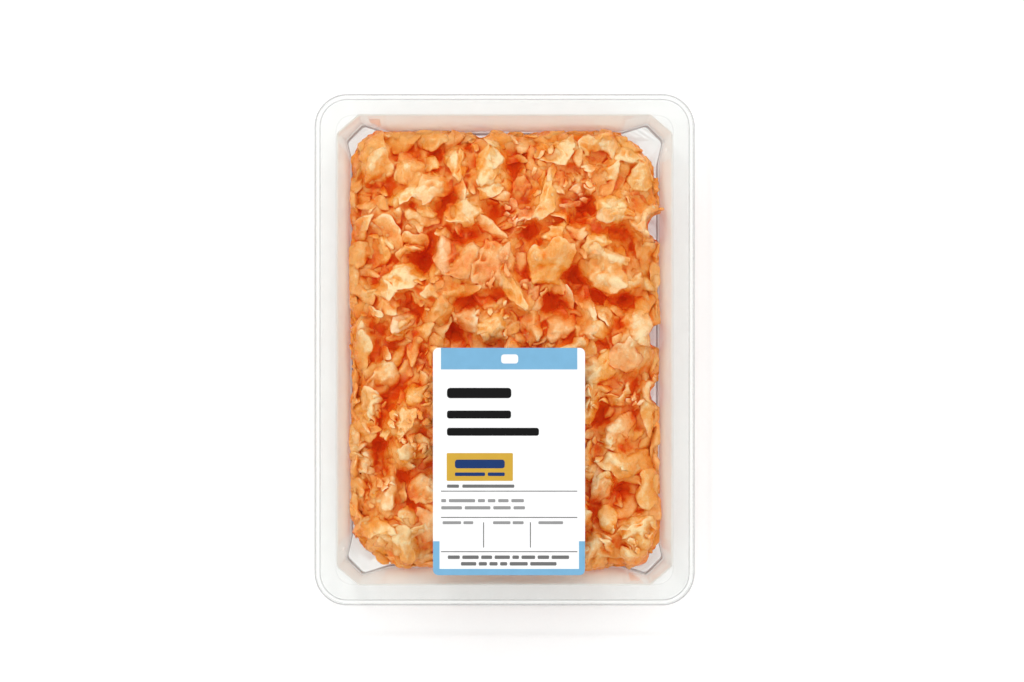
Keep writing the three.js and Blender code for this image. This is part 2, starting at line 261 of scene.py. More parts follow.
def add_lamp():
    """A square soft lamp that points at the middle of the pack."""
    light = bpy.data.lights.new("key lamp", "AREA")
    light.size = LAMP_SIZE
    light.energy = LAMP_POWER
    lamp = bpy.data.objects.new("key lamp", light)
    lamp.location = LAMP_PLACE
    lamp.rotation_euler = (-LAMP_PLACE).to_track_quat("-Z", "Y").to_euler()
    bpy.context.scene.collection.objects.link(lamp)


add_lamp()
bpy.context.scene.cycles.diffuse_bounces = DIFFUSE_BOUNCES
bpy.context.scene.view_settings.view_transform = "Standard"
bpy.context.scene.view_settings.look = "None"
print("key lamp:", round(LAMP_PLACE.length, 2), "m from the pack")

# %% [markdown]
# The table is a plain sheet of white paper, far larger than the view. It isn't part of the pack.
# Even plain paper has a little tooth, which a fine noise gives it.

# %% Lay the table
FLOOR_HALF = 3000


def table_material():
    recipe = Recipe("table paper", Roughness=0.85)
    tooth = noise(recipe, 900, detail=3)
    shade = ramp(recipe, tooth, [(0.0, (0.97, 0.97, 0.97)), (1.0, (1.0, 1.0, 1.0))])
    recipe.join(shade, recipe.surface.inputs["Base Color"])
    recipe.join(bump(recipe, tooth, 0.02), recipe.surface.inputs["Normal"])
    return recipe.material


def add_table():
    mesh = bpy.data.meshes.new("table")
    corners = [(-1, -1), (1, -1), (1, 1), (-1, 1)]
    points = [(x * FLOOR_HALF * MM, y * FLOOR_HALF * MM, 0.0) for x, y in corners]
    mesh.from_pydata(points, [], [(0, 1, 2, 3)])
    mesh.materials.append(table_material())
    table = bpy.data.objects.new("table", mesh)
    bpy.context.scene.collection.objects.link(table)


add_table()
print("table:", 2 * FLOOR_HALF * MM, "m wide")

# %% [markdown]
# The tray is drawn from a sheet of warm clear plastic that is sucked into a mould. Its outline
# changes on the way down: round corners at the rim, corners cut off straight inside. A loft suits
# that: a row of closed outlines with as many points each, joined by faces. Each outline is worked
# out for one quarter of the pack and mirrored into the other three. The walls stop leaning in at
# the same two places on every outline, so the flange has points there too.

# %% Outlines of the flange
CORNER_RADIUS = 12
CORNER_SHARE = 8
FOLD_ROUNDING = 1.1
LEAN_END_X = 42.5
LEAN_END_Y = 68.7


def mirrored(quarter):
    """A closed outline from the points of its +X +Y quarter."""
    flip_x = quarter * (-1, 1)
    flip_y = quarter * (1, -1)
    return np.concatenate([quarter, flip_x[::-1], -quarter, flip_y[::-1]])


def flange_outline(inset, drop, radius=None):
    """The pack's outer rectangle drawn in by inset, with round corners."""
    radius = CORNER_RADIUS - inset if radius is None else radius
    half = np.array([PACK_WIDTH, PACK_LENGTH]) / 2 - inset
    angle = np.linspace(0, np.pi / 2, 2 * CORNER_SHARE)
    corner = half - radius + radius * np.c_[np.cos(angle), np.sin(angle)]
    spread = np.linspace(-FOLD_ROUNDING, FOLD_ROUNDING, CORNER_SHARE)
    side = np.c_[np.full(CORNER_SHARE, half[0]), LEAN_END_Y + spread]
    end = np.c_[LEAN_END_X - spread, np.full(CORNER_SHARE, half[1])]
    plan = mirrored(np.concatenate([side, corner, end]))
    return np.c_[plan, np.full(len(plan), SEAL_HEIGHT - drop)]


print("points in an outline:", len(flange_outline(0, 0)))

# %% [markdown]
# Seen from above, the cavity has corners that are cut off straight, and walls that lean in
# between them. Its outline is a list of stops, and each of its corners is rounded by a soft curve.

# %% Outlines of the cavity
def soft_curve(start, corner, end, share):
    """A point on the curve that leaves start and reaches end, and bends towards the corner."""
    return start * (1 - share) ** 2 + 2 * corner * share * (1 - share) + end * share**2


def rounded_corner(before, corner, after, trim, count):
    """Points on a soft curve that cuts a corner of an outline off."""
    start = corner + (before - corner) * trim / np.linalg.norm(before - corner)
    end = corner + (after - corner) * trim / np.linalg.norm(after - corner)
    return soft_curve(start, corner, end, np.linspace(0, 1, count)[:, None])


def cavity_outline(half, cut, lean, z, grow=0.0):
    """The cavity's outline with straight cut corners and walls that lean in between them."""
    half = np.array(half) + grow
    cut = np.array(cut) + grow * (2 - math.sqrt(2))
    stops = np.array([
        (half[0] - lean[0], 0),
        (half[0] - lean[0], LEAN_END_Y),
        (half[0], half[1] - cut[1]),
        (half[0] - cut[0], half[1]),
        (LEAN_END_X, half[1] - lean[1]),
        (0, half[1] - lean[1]),
    ])
    folds = zip(stops, stops[1:], stops[2:])
    quarter = [rounded_corner(*fold, FOLD_ROUNDING, CORNER_SHARE) for fold in folds]
    plan = mirrored(np.concatenate(quarter))
    return np.c_[plan, np.full(len(plan), z)]


print("points in the cavity's outline:", len(cavity_outline((60, 85), (7, 6), (2, 3), 0)))

# %% [markdown]
# Seen from the outside in, the flange has a lip that hangs down, a round crown, a narrow groove,
# the flat band that the film is welded to, and a small step. Then the wall goes down to the
# floor. The sheet is 0.6 mm thick, so the same outlines come back on the underside. Each fold is
# listed with how far it is rounded over, since a moulded sheet has no sharp edge.

# %% The tray's folds, from under the floor out to the lip and back in
WALL = 0.6
SEAL_INSET = 2.6
GROOVE_INSET = 2.1
GROOVE_DROP = 0.5
CROWN_INSET = 1.2
CROWN_DROP = 0.1
SHOULDER_DROP = 1.3
LIP_DROP = 3.2
STEP_INSET = 8
STEP_RADIUS = 5.5
STEP_DROP = 0.75
MOUTH = {"half": (60.8, 85.4), "cut": (7.6, 6.4), "lean": (0, 0)}
FLOOR = {"half": (58.8, 83.6), "cut": (6, 6), "lean": (2, 3.2)}

tray_folds = [
    (cavity_outline(**FLOOR, z=0, grow=WALL), 0.9),
    (cavity_outline(**MOUTH, z=SEAL_HEIGHT - STEP_DROP - WALL, grow=WALL), 0.35),
    (flange_outline(STEP_INSET - WALL, WALL, STEP_RADIUS + WALL), 0.3),
    (flange_outline(SEAL_INSET + WALL / 2, WALL), 0.2),
    (flange_outline(GROOVE_INSET, GROOVE_DROP + WALL), 0.2),
    (flange_outline(CROWN_INSET, CROWN_DROP + WALL), 0.4),
    (flange_outline(WALL, SHOULDER_DROP + WALL / 2), 0.4),
    (flange_outline(WALL, LIP_DROP), 0.1),
    (flange_outline(0, LIP_DROP), 0.1),
    (flange_outline(0, SHOULDER_DROP), 0.6),
    (flange_outline(CROWN_INSET, CROWN_DROP), 0.5),
    (flange_outline(GROOVE_INSET, GROOVE_DROP), 0.4),
    (flange_outline(SEAL_INSET, 0), 0.25),
    (flange_outline(STEP_INSET, 0, STEP_RADIUS), 0.35),
    (cavity_outline(**MOUTH, z=SEAL_HEIGHT - STEP_DROP), 0.5),
    (cavity_outline(**FLOOR, z=WALL), 1.0),
]
print("folds:", len(tray_folds))

# %% [markdown]
# A fold that is seen along the sheet shows as a grey line, and the thick crown as a white band.
# Real light paths through the sheet would show that after very many samples. Here each fold has a
# painted shade for its start, its middle and its end instead, which its material reads: above zero
# for a painted grey line, below zero for a painted white highlight.

# %% Shades of the folds
LIP_FOLD = 8
SHOULDER_FOLD = 9
CROWN_FOLD = 10
GROOVE_FOLD = 11
STEP_FOLD = 13
MOUTH_FOLD = 14
FLOOR_FOLD = len(tray_folds) - 1
FOLD_SHADES = {
    LIP_FOLD: (0.4, 0.4, 0.4),
    SHOULDER_FOLD: (0.5, 0.55, 0.4),
    CROWN_FOLD: (-0.2, -0.5, -0.5),
    GROOVE_FOLD: (-0.3, 0.8, 0.0),
    STEP_FOLD: (0.0, 0.18, 0.0),
    MOUTH_FOLD: (0.0, 0.12, -0.1),
    FLOOR_FOLD: (-0.1, 0.9, 0.0),
}
NO_SHADE = (0, 0, 0)
print("folds with a shade of their own:", len(FOLD_SHADES))

# %% [markdown]
# Rounding a fold means swapping its outline for a few that follow a curve from one side of the
# fold to the other. The rows are then joined by faces, and each row keeps the shade of its fold.

# %% Round the folds and join the outlines
FOLD_STEPS = 5


def rounded_folds(folds):
    """Rows of points with each fold rounded over, and the shade of each row."""
    rows = []
    shades = []
    outlines = [outline for outline, _ in folds]
    centre = outlines[0].mean(0) * (0, 0, 1)
    neighbours = [centre] + outlines + [outlines[-1] * (0.5, 0.5, 1)]
    for place, (outline, trim) in enumerate(folds):
        before = neighbours[place] - outline
        after = neighbours[place + 2] - outline
        start = outline + before * trim / np.linalg.norm(before, axis=1)[:, None]
        end = outline + after * trim / np.linalg.norm(after, axis=1)[:, None]
        for share in np.linspace(0, 1, FOLD_STEPS):
            rows.append(soft_curve(start, outline, end, share))
            shades.append(np.interp(share, (0, 0.5, 1), FOLD_SHADES.get(place, NO_SHADE)))
    return rows, shades


def loft(rows):
    """Faces between rows of points, with one many-sided face at each end."""
    count = len(rows[0])
    faces = [list(range(count))[::-1]]
    for low in range(0, (len(rows) - 1) * count, count):
        for step in range(count):
            beside = (step + 1) % count
            faces.append((low + step, low + beside, low + count + beside, low + count + step))
    faces.append([(len(rows) - 1) * count + step for step in range(count)])
    return np.concatenate(rows), faces


tray_rows, tray_shades = rounded_folds(tray_folds)
tray_points, tray_faces = loft(tray_rows)
print("tray:", len(tray_points), "points,", len(tray_faces), "faces")

# %% [markdown]
# Clear plastic could be made with refraction, but light then reaches the fish only as caustics,
# which stay dark and grainy. A thin sheet hardly bends light anyway. So the material mixes a
# Transparent shader with a glossy one. The share of gloss rises towards grazing angles, as on
# every real sheet, which is why the steep walls mirror some of the orange of the fish. The sum is
# worked out with small nodes for arithmetic, for which these helpers stand.

# %% Arithmetic and clear plastic
def calculate(recipe, operation, first, second=0.0, third=0.0, clamp=False):
    """One step of arithmetic with numbers or the outputs of nodes."""
    node = recipe.add("ShaderNodeMath", operation=operation, use_clamp=clamp)
    recipe.feed(node, {0: first, 1: second, 2: third})
    return node.outputs[0]


def span(recipe, value, low, high, to_low=0.0, to_high=1.0):
    """Maps a value from one range to another, and holds it inside the second."""
    node = recipe.add("ShaderNodeMapRange")
    recipe.feed(node, {0: value, 1: low, 2: high, 3: to_low, 4: to_high})
    return node.outputs[0]


def blend(recipe, share, first, second):
    """Mixes two colours."""
    node = recipe.add("ShaderNodeMix", data_type="RGBA")
    recipe.feed(node, {0: share, 6: first, 7: second})
    return node.outputs[2]


def painted(recipe, name):
    """The number that was painted on each vertex under this name."""
    return recipe.add("ShaderNodeAttribute", attribute_name=name).outputs["Fac"]


def see_through(recipe, share, tint):
    """Lets the floor and the fish show through: share is how much of the surface is seen."""
    clear = recipe.add("ShaderNodeBsdfTransparent")
    clear.inputs["Color"].default_value = (*tint, 1.0)
    mix = recipe.add("ShaderNodeMixShader")
    recipe.feed(mix, {0: share, 1: clear.outputs[0], 2: recipe.surface.outputs[0]})
    recipe.join(mix.outputs[0], recipe.output.inputs["Surface"])


print("helpers:", [one.__name__ for one in (calculate, span, blend, painted, see_through)])

# %% [markdown]
# The tray gets its gloss from a Fresnel node with a weak refraction and from a thin uneven haze,
# and its folds get their painted shades and highlights.

# %% The tray
PLASTIC_TINT = (0.972, 0.980, 0.976)
PLASTIC_HAZE = (0.07, 0.13)
PLASTIC_GLANCE = 1.07
# White of the haze, and of the painted highlight on the crown and walls
HAZE_AND_HIGHLIGHT_WHITE = (0.94, 0.95, 0.93, 1.0)
FOLD_GREY = (0.42, 0.42, 0.42, 1.0)


def tray_material():
    recipe = Recipe("clear tray plastic", Roughness=0.12, IOR=1.5)
    ripple = noise(recipe, 160, detail=2)
    recipe.join(bump(recipe, ripple, 0.12), recipe.surface.inputs["Normal"])
    glance = recipe.add("ShaderNodeFresnel")
    glance.inputs["IOR"].default_value = PLASTIC_GLANCE
    haze = span(recipe, noise(recipe, 45, detail=4), 0.3, 0.7, *PLASTIC_HAZE)
    seen = calculate(recipe, "ADD", glance.outputs[0], haze)
    # Painted shade and highlight of the folds: above zero a grey line, below zero a white band
    shade = painted(recipe, "fold")
    folded = calculate(recipe, "ADD", seen, calculate(recipe, "ABSOLUTE", shade), clamp=True)
    grey = blend(recipe, span(recipe, shade, 0.0, 0.4), HAZE_AND_HIGHLIGHT_WHITE, FOLD_GREY)
    recipe.join(grey, recipe.surface.inputs["Base Color"])
    see_through(recipe, folded, PLASTIC_TINT)
    return recipe.material


tray = make_piece("clear_tray", tray_points, tray_faces, [tray_material()], "tray")
paint(tray, "fold", np.repeat(tray_shades, len(tray_rows[0])))
print("tray:", round(tray.dimensions.z / MM, 2), "mm high")

# %% [markdown]
# The film is welded to the flat band of the flange. It is stretched as it cools, so it lies flat
# but for faint ripples. It could be a bare plane, yet a closed sheet keeps its edge, so it is a
# grid inside a rounded outline, with an upper and a lower face and ripples of a few hundredths
# of a millimetre.

# %% The film's shape
FILM_GRID = 60
FILM_LIFT = 0.03
FILM_THICKNESS = 0.12
FILM_RIPPLE = 0.04


def squircle_sheet(half, radius, cells):
    """A grid of points whose corners are pulled in onto a rounded rectangle."""
    share = np.linspace(-1, 1, cells + 1)
    x, y = (part.ravel() for part in np.meshgrid(share * half[0], share * half[1]))
    inner = np.array(half) - radius
    over = np.maximum(np.abs(np.c_[x, y]) - inner, 0)
    reach = np.maximum(np.hypot(*over.T), 1e-9)
    square = over.max(1)
    pull = np.where(reach > 0, square / reach, 1)[:, None]
    return np.sign(np.c_[x, y]) * (np.minimum(np.abs(np.c_[x, y]), inner) + over * pull)


def grid_faces(cells, start=0):
    rows = [start + row * (cells + 1) + column for row in range(cells) for column in range(cells)]
    return [(at, at + 1, at + cells + 2, at + cells + 1) for at in rows]


def film_shape():
    half = (film_high - film_low)[:2] / 2
    plan = squircle_sheet(half, CORNER_RADIUS - SEAL_INSET, FILM_GRID)
    ripple = np.sin(plan[:, 0] * 0.21 + 0.7 * np.sin(plan[:, 1] * 0.05)) * np.sin(plan[:, 1] * 0.09)
    low = film_low[2] + FILM_LIFT + FILM_RIPPLE * (1 + ripple) / 2
    count = len(plan)
    points = np.concatenate([np.c_[plan, low + FILM_THICKNESS], np.c_[plan, low]])
    upper = grid_faces(FILM_GRID)
    lower = [face[::-1] for face in grid_faces(FILM_GRID, count)]
    across = range(FILM_GRID + 1)
    side = FILM_GRID + 1
    rim = list(across)
    rim += [row * side + FILM_GRID for row in across[1:]]
    rim += [FILM_GRID * side + column for column in reversed(across[:-1])]
    rim += [row * side for row in reversed(across[1:-1])]
    edge = [(a, a + count, b + count, b) for a, b in zip(rim, rim[1:] + rim[:1])]
    return points, upper + lower + edge


film_points, film_faces = film_shape()
print("film:", len(film_points), "points")

# %% [markdown]
# From above the film is as good as unseen, and at a slant it mirrors the room. A Fresnel node
# takes the back of a face for the inside of a block of plastic and turns it into a full mirror at
# a slant, which would hide the fish. The Layer Weight node knows no inside: its facing value,
# raised to the fifth power, is the usual formula for how gloss grows on a sheet.

# %% The film's finish
FILM_GLOSS = 0.001
FILM_SLANT_GLOSS = 0.9
GLOSS_POWER = 5.0


def film_material():
    recipe = Recipe("lid film", Base_Color=(0.95, 0.95, 0.95, 1.0), Roughness=0.06, IOR=1.45)
    slack = noise(recipe, 22, detail=2, stretch=(1.0, 0.35, 1.0))
    recipe.join(bump(recipe, slack, 1.5), recipe.surface.inputs["Normal"])
    slant = recipe.add("ShaderNodeLayerWeight").outputs["Facing"]
    growing = calculate(recipe, "POWER", slant, GLOSS_POWER)
    seen = calculate(recipe, "MULTIPLY_ADD", growing, FILM_SLANT_GLOSS, FILM_GLOSS)
    see_through(recipe, seen, (0.995, 0.995, 0.993))
    return recipe.material


make_piece("lid_film", film_points, film_faces, [film_material()], "film")
print("film: up to", film_points[:, 2].max().round(2), "mm high")

# %% [markdown]
# The label is white coated paper off a roll, with round corners, printed with plain fields and
# bars in a light blue, a yellow, a dark blue, black and greys. Printing could be a texture, but a
# picture isn't needed for flat fields. The label's upper face is cut along every field instead,
# with Blender's Delaunay triangulation, and each facet takes the ink of the field that it lies
# in. All places are measured from the label's lower left corner.

# %% The fields of print
LABEL_CORNER = 2.0
label_size = label_high - label_low
HEAD_LEFT = 2.9
HEAD_RIGHT = 52.7
RULE_WIDTH = 0.35


def field(ink, left, low, right, high, radius=0.0):
    """One printed rectangle."""
    return {"ink": ink, "left": left, "low": low, "right": right, "high": high, "radius": radius}


def bars(ink, left, low, height, lengths, gap):
    """A row of bars with round ends and a gap after each."""
    row = []
    for length in lengths:
        row.append(field(ink, left, low, left + length, low + height, height * 0.3))
        left += length + gap
    return row


print_fields = [
    field("blue", 0, 0, label_size[0], 12.4),
    field("paper", 2.4, 2.3, label_size[0] - 2.2, 12.5),
    field("blue", HEAD_LEFT, 75.1, HEAD_RIGHT, label_size[1]),
    field("paper", 24.9, 77.3, 31.1, 80.6, 1.0),
    field("ink", 5.1, 64.6, 28.6, 68.4, 1.2),
    *bars("ink", 5.1, 57.2, 2.9, [23.4], 1.5),
    *bars("ink", 5.1, 50.9, 2.9, [33.6], 1.5),
    field("yellow", 5.0, 34.4, 29.2, 44.6, 0.4),
    *bars("navy", 8.0, 39.0, 3.2, [18.2], 1.0),
    *bars("navy", 8.0, 36.2, 1.3, [11.0, 6.2], 1.0),
    *bars("grey", 5.1, 31.9, 1.2, [4.4, 19.0], 1.2),
    field("rule", HEAD_LEFT, 30.5, HEAD_RIGHT, 30.5 + RULE_WIDTH),
    *bars("pale", 3.0, 26.6, 1.2, [1.8, 9.6, 2.6, 2.8, 3.8, 4.6], 1.0),
    *bars("pale", 3.0, 24.0, 1.2, [7.6, 9.4, 6.4, 4.2], 1.0),
    field("rule", HEAD_LEFT, 20.9, HEAD_RIGHT, 20.9 + RULE_WIDTH),
    *bars("pale", 3.5, 18.6, 1.1, [6.8, 3.6], 0.8),
    *bars("pale", 21.9, 18.6, 1.1, [6.4, 4.0], 0.8),
    *bars("pale", 38.5, 18.6, 1.1, [9.0], 0.8),
    field("rule", 18.3, 10.1, 18.3 + RULE_WIDTH, 19.3),
    field("rule", 35.4, 10.1, 35.4 + RULE_WIDTH, 19.3),
    field("rule", HEAD_LEFT, 8.4, HEAD_RIGHT, 8.4 + RULE_WIDTH),
    *bars("grey", 5.4, 5.9, 1.3, [4.4, 6.0, 4.0, 5.6, 2.4, 5.0, 4.2, 6.4], 0.9),
    *bars("grey", 10.2, 3.5, 1.3, [5.6, 3.0, 3.0, 2.6, 6.6, 9.6], 0.9),
]
print("fields of print:", len(print_fields))

# %% [markdown]
# The outline of a field is a list of points, round at its corners. Whether a point lies in a field
# is worked out from the distance to those corners.

# %% Outline of a field
def rounded_rectangle(left, low, right, high, radius, steps):
    """Points of a rectangle with round corners, going round to the left."""
    radius = max(radius, 1e-3)
    corners = [(right, low, -90), (right, high, 0), (left, high, 90), (left, low, 180)]
    points = []
    for x, y, turn in corners:
        middle_x = x - math.copysign(radius, x - (left + right) / 2)
        middle_y = y - math.copysign(radius, y - (low + high) / 2)
        for step in range(steps + 1):
            angle = math.radians(turn + 90 * step / steps)
            points.append((middle_x + radius * math.cos(angle), middle_y + radius * math.sin(angle)))
    return points


def holds(one, x, y):
    """True where a point lies in a field, inside its round corners."""
    inner_x = max(one["left"] + one["radius"] - x, x - one["right"] + one["radius"], 0)
    inner_y = max(one["low"] + one["radius"] - y, y - one["high"] + one["radius"], 0)
    if one["radius"] == 0:
        return one["left"] < x < one["right"] and one["low"] < y < one["high"]
    return math.hypot(inner_x, inner_y) < one["radius"]


print("points in a bar:", len(rounded_rectangle(0, 0, 10, 2, 0.6, 4)))

# %% [markdown]
# The triangulation is given all outlines at once and keeps each of their edges. Afterwards the
# middle of each facet is compared with the fields, and the last field that holds it wins, just as
# the last ink covers the others.

# %% Cut the label along its print
INKS = ["paper", "blue", "yellow", "navy", "ink", "grey", "pale", "rule"]
ARC_STEPS = 4


def label_shape():
    width, length = label_size[:2]
    outer = rounded_rectangle(0, 0, width, length, LABEL_CORNER, 8)
    points = [Vector(point) for point in outer]
    edges = [(at, (at + 1) % len(outer)) for at in range(len(outer))]
    for one in print_fields:
        steps = ARC_STEPS if one["radius"] else 1
        ring = rounded_rectangle(
            one["left"], one["low"], one["right"], one["high"], one["radius"], steps
        )
        first = len(points)
        points += [Vector(point) for point in ring]
        edges += [(first + at, first + (at + 1) % len(ring)) for at in range(len(ring))]
    flat, _, facets, *_ = delaunay_2d_cdt(points, edges, [], 0, 1e-5)
    limits = {"left": 0, "low": 0, "right": width, "high": length, "radius": LABEL_CORNER}
    inks = []
    kept = []
    for facet in facets:
        x = sum(flat[at].x for at in facet) / len(facet)
        y = sum(flat[at].y for at in facet) / len(facet)
        if holds(limits, x, y):
            ink = [one["ink"] for one in print_fields if holds(one, x, y)]
            inks.append(INKS.index(ink[-1] if ink else "paper"))
            kept.append(facet)
    return flat, kept, inks


label_flat, label_facets, label_inks = label_shape()
print("printed facets:", len(label_facets))

# %% [markdown]
# A label is a thin sheet, so the cut face gets plain sides and an underside of bare paper. An edge
# of a facet that no neighbour shares lies on the rim, and each such edge gets one side face.

# %% Close the label
LABEL_GAP = 0.02


def label_solid(flat, facets, inks):
    """The label as a closed sheet: cut upper face, plain sides and underside."""
    used = sorted({at for facet in facets for at in facet})
    place = {at: new for new, at in enumerate(used)}
    plan = np.array([flat[at][:] for at in used]) + label_low[:2]
    facets = [tuple(place[at] for at in facet) for facet in facets]
    count = len(plan)
    sides = {}
    for facet in facets:
        for a, b in zip(facet, facet[1:] + facet[:1]):
            sides[(a, b)] = True
    rim = [(a, b) for a, b in sides if (b, a) not in sides]
    points = np.concatenate([
        np.c_[plan, np.full(count, label_high[2])],
        np.c_[plan, np.full(count, label_low[2] + LABEL_GAP)],
    ])
    faces = facets + [tuple(at + count for at in facet[::-1]) for facet in facets]
    faces += [(a, a + count, b + count, b) for a, b in rim]
    paper = [INKS.index("paper")] * (len(faces) - len(facets))
    return points, faces, inks + paper


label_points, label_faces, face_inks = label_solid(label_flat, label_facets, label_inks)
print("label facets:", len(label_faces))

# %% [markdown]
# Each ink is its own material. Paper and ink share a fine grain: a soft bump for the fibres of
# the paper, and a cloud of slightly uneven ink. A printed field is never one flat colour when
# looked at closely.

# %% Paper and inks
INK_COLOURS = {
    "paper": (0.93, 0.93, 0.93),
    "blue": (0.193, 0.435, 0.651),
    "yellow": (0.62, 0.377, 0.046),
    "navy": (0.010, 0.038, 0.15),
    "ink": (0.003, 0.003, 0.003),
    "grey": (0.16, 0.16, 0.16),
    "pale": (0.30, 0.30, 0.30),
    "rule": (0.12, 0.12, 0.12),
}


def ink_material(ink, colour):
    recipe = Recipe("label " + ink, Roughness=0.42, Specular_IOR_Level=0.15)
    fibre = noise(recipe, 1500, detail=3)
    cloud = noise(recipe, 260, detail=3)
    darker = tuple(part * 0.94 for part in colour)
    shade = ramp(recipe, cloud, [(0.3, darker), (0.7, colour)])
    recipe.join(shade, recipe.surface.inputs["Base Color"])
    recipe.join(bump(recipe, fibre, 0.03), recipe.surface.inputs["Normal"])
    recipe.join(span(recipe, fibre, 0.3, 0.7, 0.38, 0.5), recipe.surface.inputs["Roughness"])
    return recipe.material


label_materials = [ink_material(ink, INK_COLOURS[ink]) for ink in INKS]
label = make_piece(
    "paper_label", label_points, label_faces, label_materials, "label"
)
label.data.polygons.foreach_set("material_index", face_inks)
label.data.polygons.foreach_set("use_smooth", [False] * len(label_faces))
print("inks:", len(label_materials))

# %% [markdown]
# Now the fish. The heap is low at the walls and higher in the middle, leaves the corners of the
# tray empty and has a few gaps along the walls. Two functions say so for any point: how far it
# lies inside the heap's outline, and how high the heap is there.

# %% The form of the heap
HEAP_EDGE_LEVEL = 12.5
HEAP_RISE = 12
HEAP_SHOULDER = 20
HEAP_WAVE = 1.3
HEAP_SIDE_INSET = 1.2
CORNER_RADII = {(1, 1): 21, (-1, 1): 13, (-1, -1): 22, (1, -1): 12}
WALL_GAPS = [(57.5, 45.5, 5.4), (58, 5, 5.2), (58, -16.5, 4.6), (-8.5, 82, 3.8), (9, 83, 3.4)]
GAP_UNEVEN = 0.2
HALF_HEAP = np.array(FLOOR["half"]) - FLOOR["lean"] - HEAP_SIDE_INSET


def inside_heap(x, y):
    """How far points lie inside the heap's outline seen from above."""
    radius = np.zeros_like(x)
    for (side_x, side_y), corner in CORNER_RADII.items():
        radius = np.where((side_x * x >= 0) & (side_y * y >= 0), corner, radius)
    over_x = np.abs(x) - (HALF_HEAP[0] - radius)
    over_y = np.abs(y) - (HALF_HEAP[1] - radius)
    to_sides = np.minimum(HALF_HEAP[0] - np.abs(x), HALF_HEAP[1] - np.abs(y))
    return np.where((over_x > 0) & (over_y > 0), radius - np.hypot(over_x, over_y), to_sides)


def heap_height(x, y):
    """Height of the heap above the table: a low rise with long uneven waves."""
    inward = np.clip(inside_heap(x, y) / HEAP_SHOULDER, 0, 1)
    rise = inward * inward * (3 - 2 * inward)
    square = np.sin(x * 0.13 + 1.1) * np.cos(y * 0.11)
    slanted = np.sin(x * 0.07 - y * 0.16)
    return HEAP_EDGE_LEVEL + HEAP_RISE * rise + HEAP_WAVE * (square + slanted)


middle = np.zeros(1)
print("heap in the middle:", heap_height(middle, middle).round(1), "mm high")

# %% [markdown]
# The flakes don't lie evenly: there are hollows between them, where the fish looks darkest. Each
# is listed with its place, how far it spreads along x and y, and its depth beside the others. A
# hollow is a smooth dip, so many of them can be added up for any point.

# %% Hollows between the flakes
HOLLOWS = [
    (-38, 74, 6, 4, 2.5), (-24, 71.5, 7, 4, 3), (-43, 60, 7, 4.5, 4.5), (-36, 62, 4, 3, 3),
    (-24, 49, 3.5, 5, 5), (-20.5, 56, 3.5, 5, 5), (-38, 51, 9, 4, 3), (-15.5, 63, 4, 3.5, 3),
    (-14, 43, 6, 3.5, 4.5), (-6, 50, 6, 3.5, 4), (1, 55, 6, 4.5, 4), (8, 59, 5, 7, 4.5),
    (3, 67, 4, 5, 3), (12, 75, 5, 4, 2), (26, 71, 8, 4, 2), (36, 71, 4, 4, 2.5),
    (23, 57, 4, 6, 3), (30.5, 55, 3.5, 5, 4.5), (28.5, 47, 4, 5, 5), (40, 62, 8, 3, 3.5),
    (9.5, 42, 4, 4, 4.5), (38, 44, 5, 3, 4), (45, 41, 5, 3, 3.5), (-33, 34.5, 4, 3, 3),
    (-28, 37, 3, 5, 3.5), (-28.5, 29.5, 4, 5, 5.5), (-37, 16.5, 5, 4, 5), (-31, 13, 3.5, 5, 4.5),
    (-14, 17.5, 6, 3, 4.5), (-8, 21.5, 5, 3.5, 4.5), (11, 26, 3.5, 4, 5), (25, 28, 4.5, 5.5, 5.5),
    (31, 21.5, 5, 3.5, 5), (40, 19, 9, 3, 5), (17.5, 18, 3.5, 6, 4.5), (24.5, 13, 5, 6, 4.5),
    (7, 10, 5, 4, 4.5), (14, 5.5, 6, 4, 5), (-17, 6.5, 6, 3, 4.5), (-42, 4, 6, 5, 4.5),
    (-32, 1.5, 4.5, 6, 5.5), (-34, -6, 4, 5, 4), (-38, -12, 5, 4, 5), (-43, -20, 4, 6, 4.5),
    (-46, -33, 3.5, 9, 4.5), (-46, -45, 3.5, 6, 3.5), (-36, -46, 7, 5, 5), (-38, -56, 6, 6, 4),
    (-28, -56.5, 4, 4, 4.5), (36, -23, 4, 6, 5.5), (33, -34, 4, 8, 5.5), (44.5, -34, 5, 5, 4),
    (45, -23, 4, 5, 3), (34.5, -57.5, 6, 4.5, 5.5), (42, -51.5, 4.5, 4, 5), (40.5, -2, 3, 5, 3),
    (38, -10, 3, 4, 3), (42, 10, 4, 4, 2.5), (-50, -62, 5, 5, 2), (33, -79, 3, 3, 2),
]
HOLLOW_DEPTH = 1.7


def hollow_depth(x, y):
    """How far the hollows lower the heap at any place."""
    depth = np.zeros_like(x, dtype=float)
    for hollow_x, hollow_y, wide, long, deep in HOLLOWS:
        away = ((x - hollow_x) / wide) ** 2 + ((y - hollow_y) / long) ** 2
        depth += HOLLOW_DEPTH * deep * np.exp(-away)
    return depth


print("hollows:", len(HOLLOWS))

# %% [markdown]
# Torn fish is uneven at every scale, so noise is needed in plenty. Blender's noise is called
# point by point, which is slow from Python. Here a block of random numbers is drawn once, from a
# fixed seed, and read with smooth steps between its numbers for all points together. The block is
# turned askew, so that its rows don't show up as lines along the pack.

# %% Smooth noise for many points at once
NOISE_CELLS = 32
noise_block = np.random.default_rng(7).random((NOISE_CELLS,) * 3)
noise_turn = np.linalg.qr(np.random.default_rng(3).normal(size=(3, 3)))[0]


def soft_noise(points, size, shift=0.0):
    """Smooth noise from -1 to 1 that changes over about size millimetres."""
    place = points @ noise_turn / size + shift
    cell = np.floor(place).astype(int)
    part = place - cell
    part = part * part * (3 - 2 * part)
    total = np.zeros(len(points))
    for corner in np.ndindex(2, 2, 2):
        weight = np.prod(np.where(corner, part, 1 - part), axis=1)
        x, y, z = ((cell + corner) % NOISE_CELLS).T
        total += weight * noise_block[x, y, z]
    return 2 * total - 1


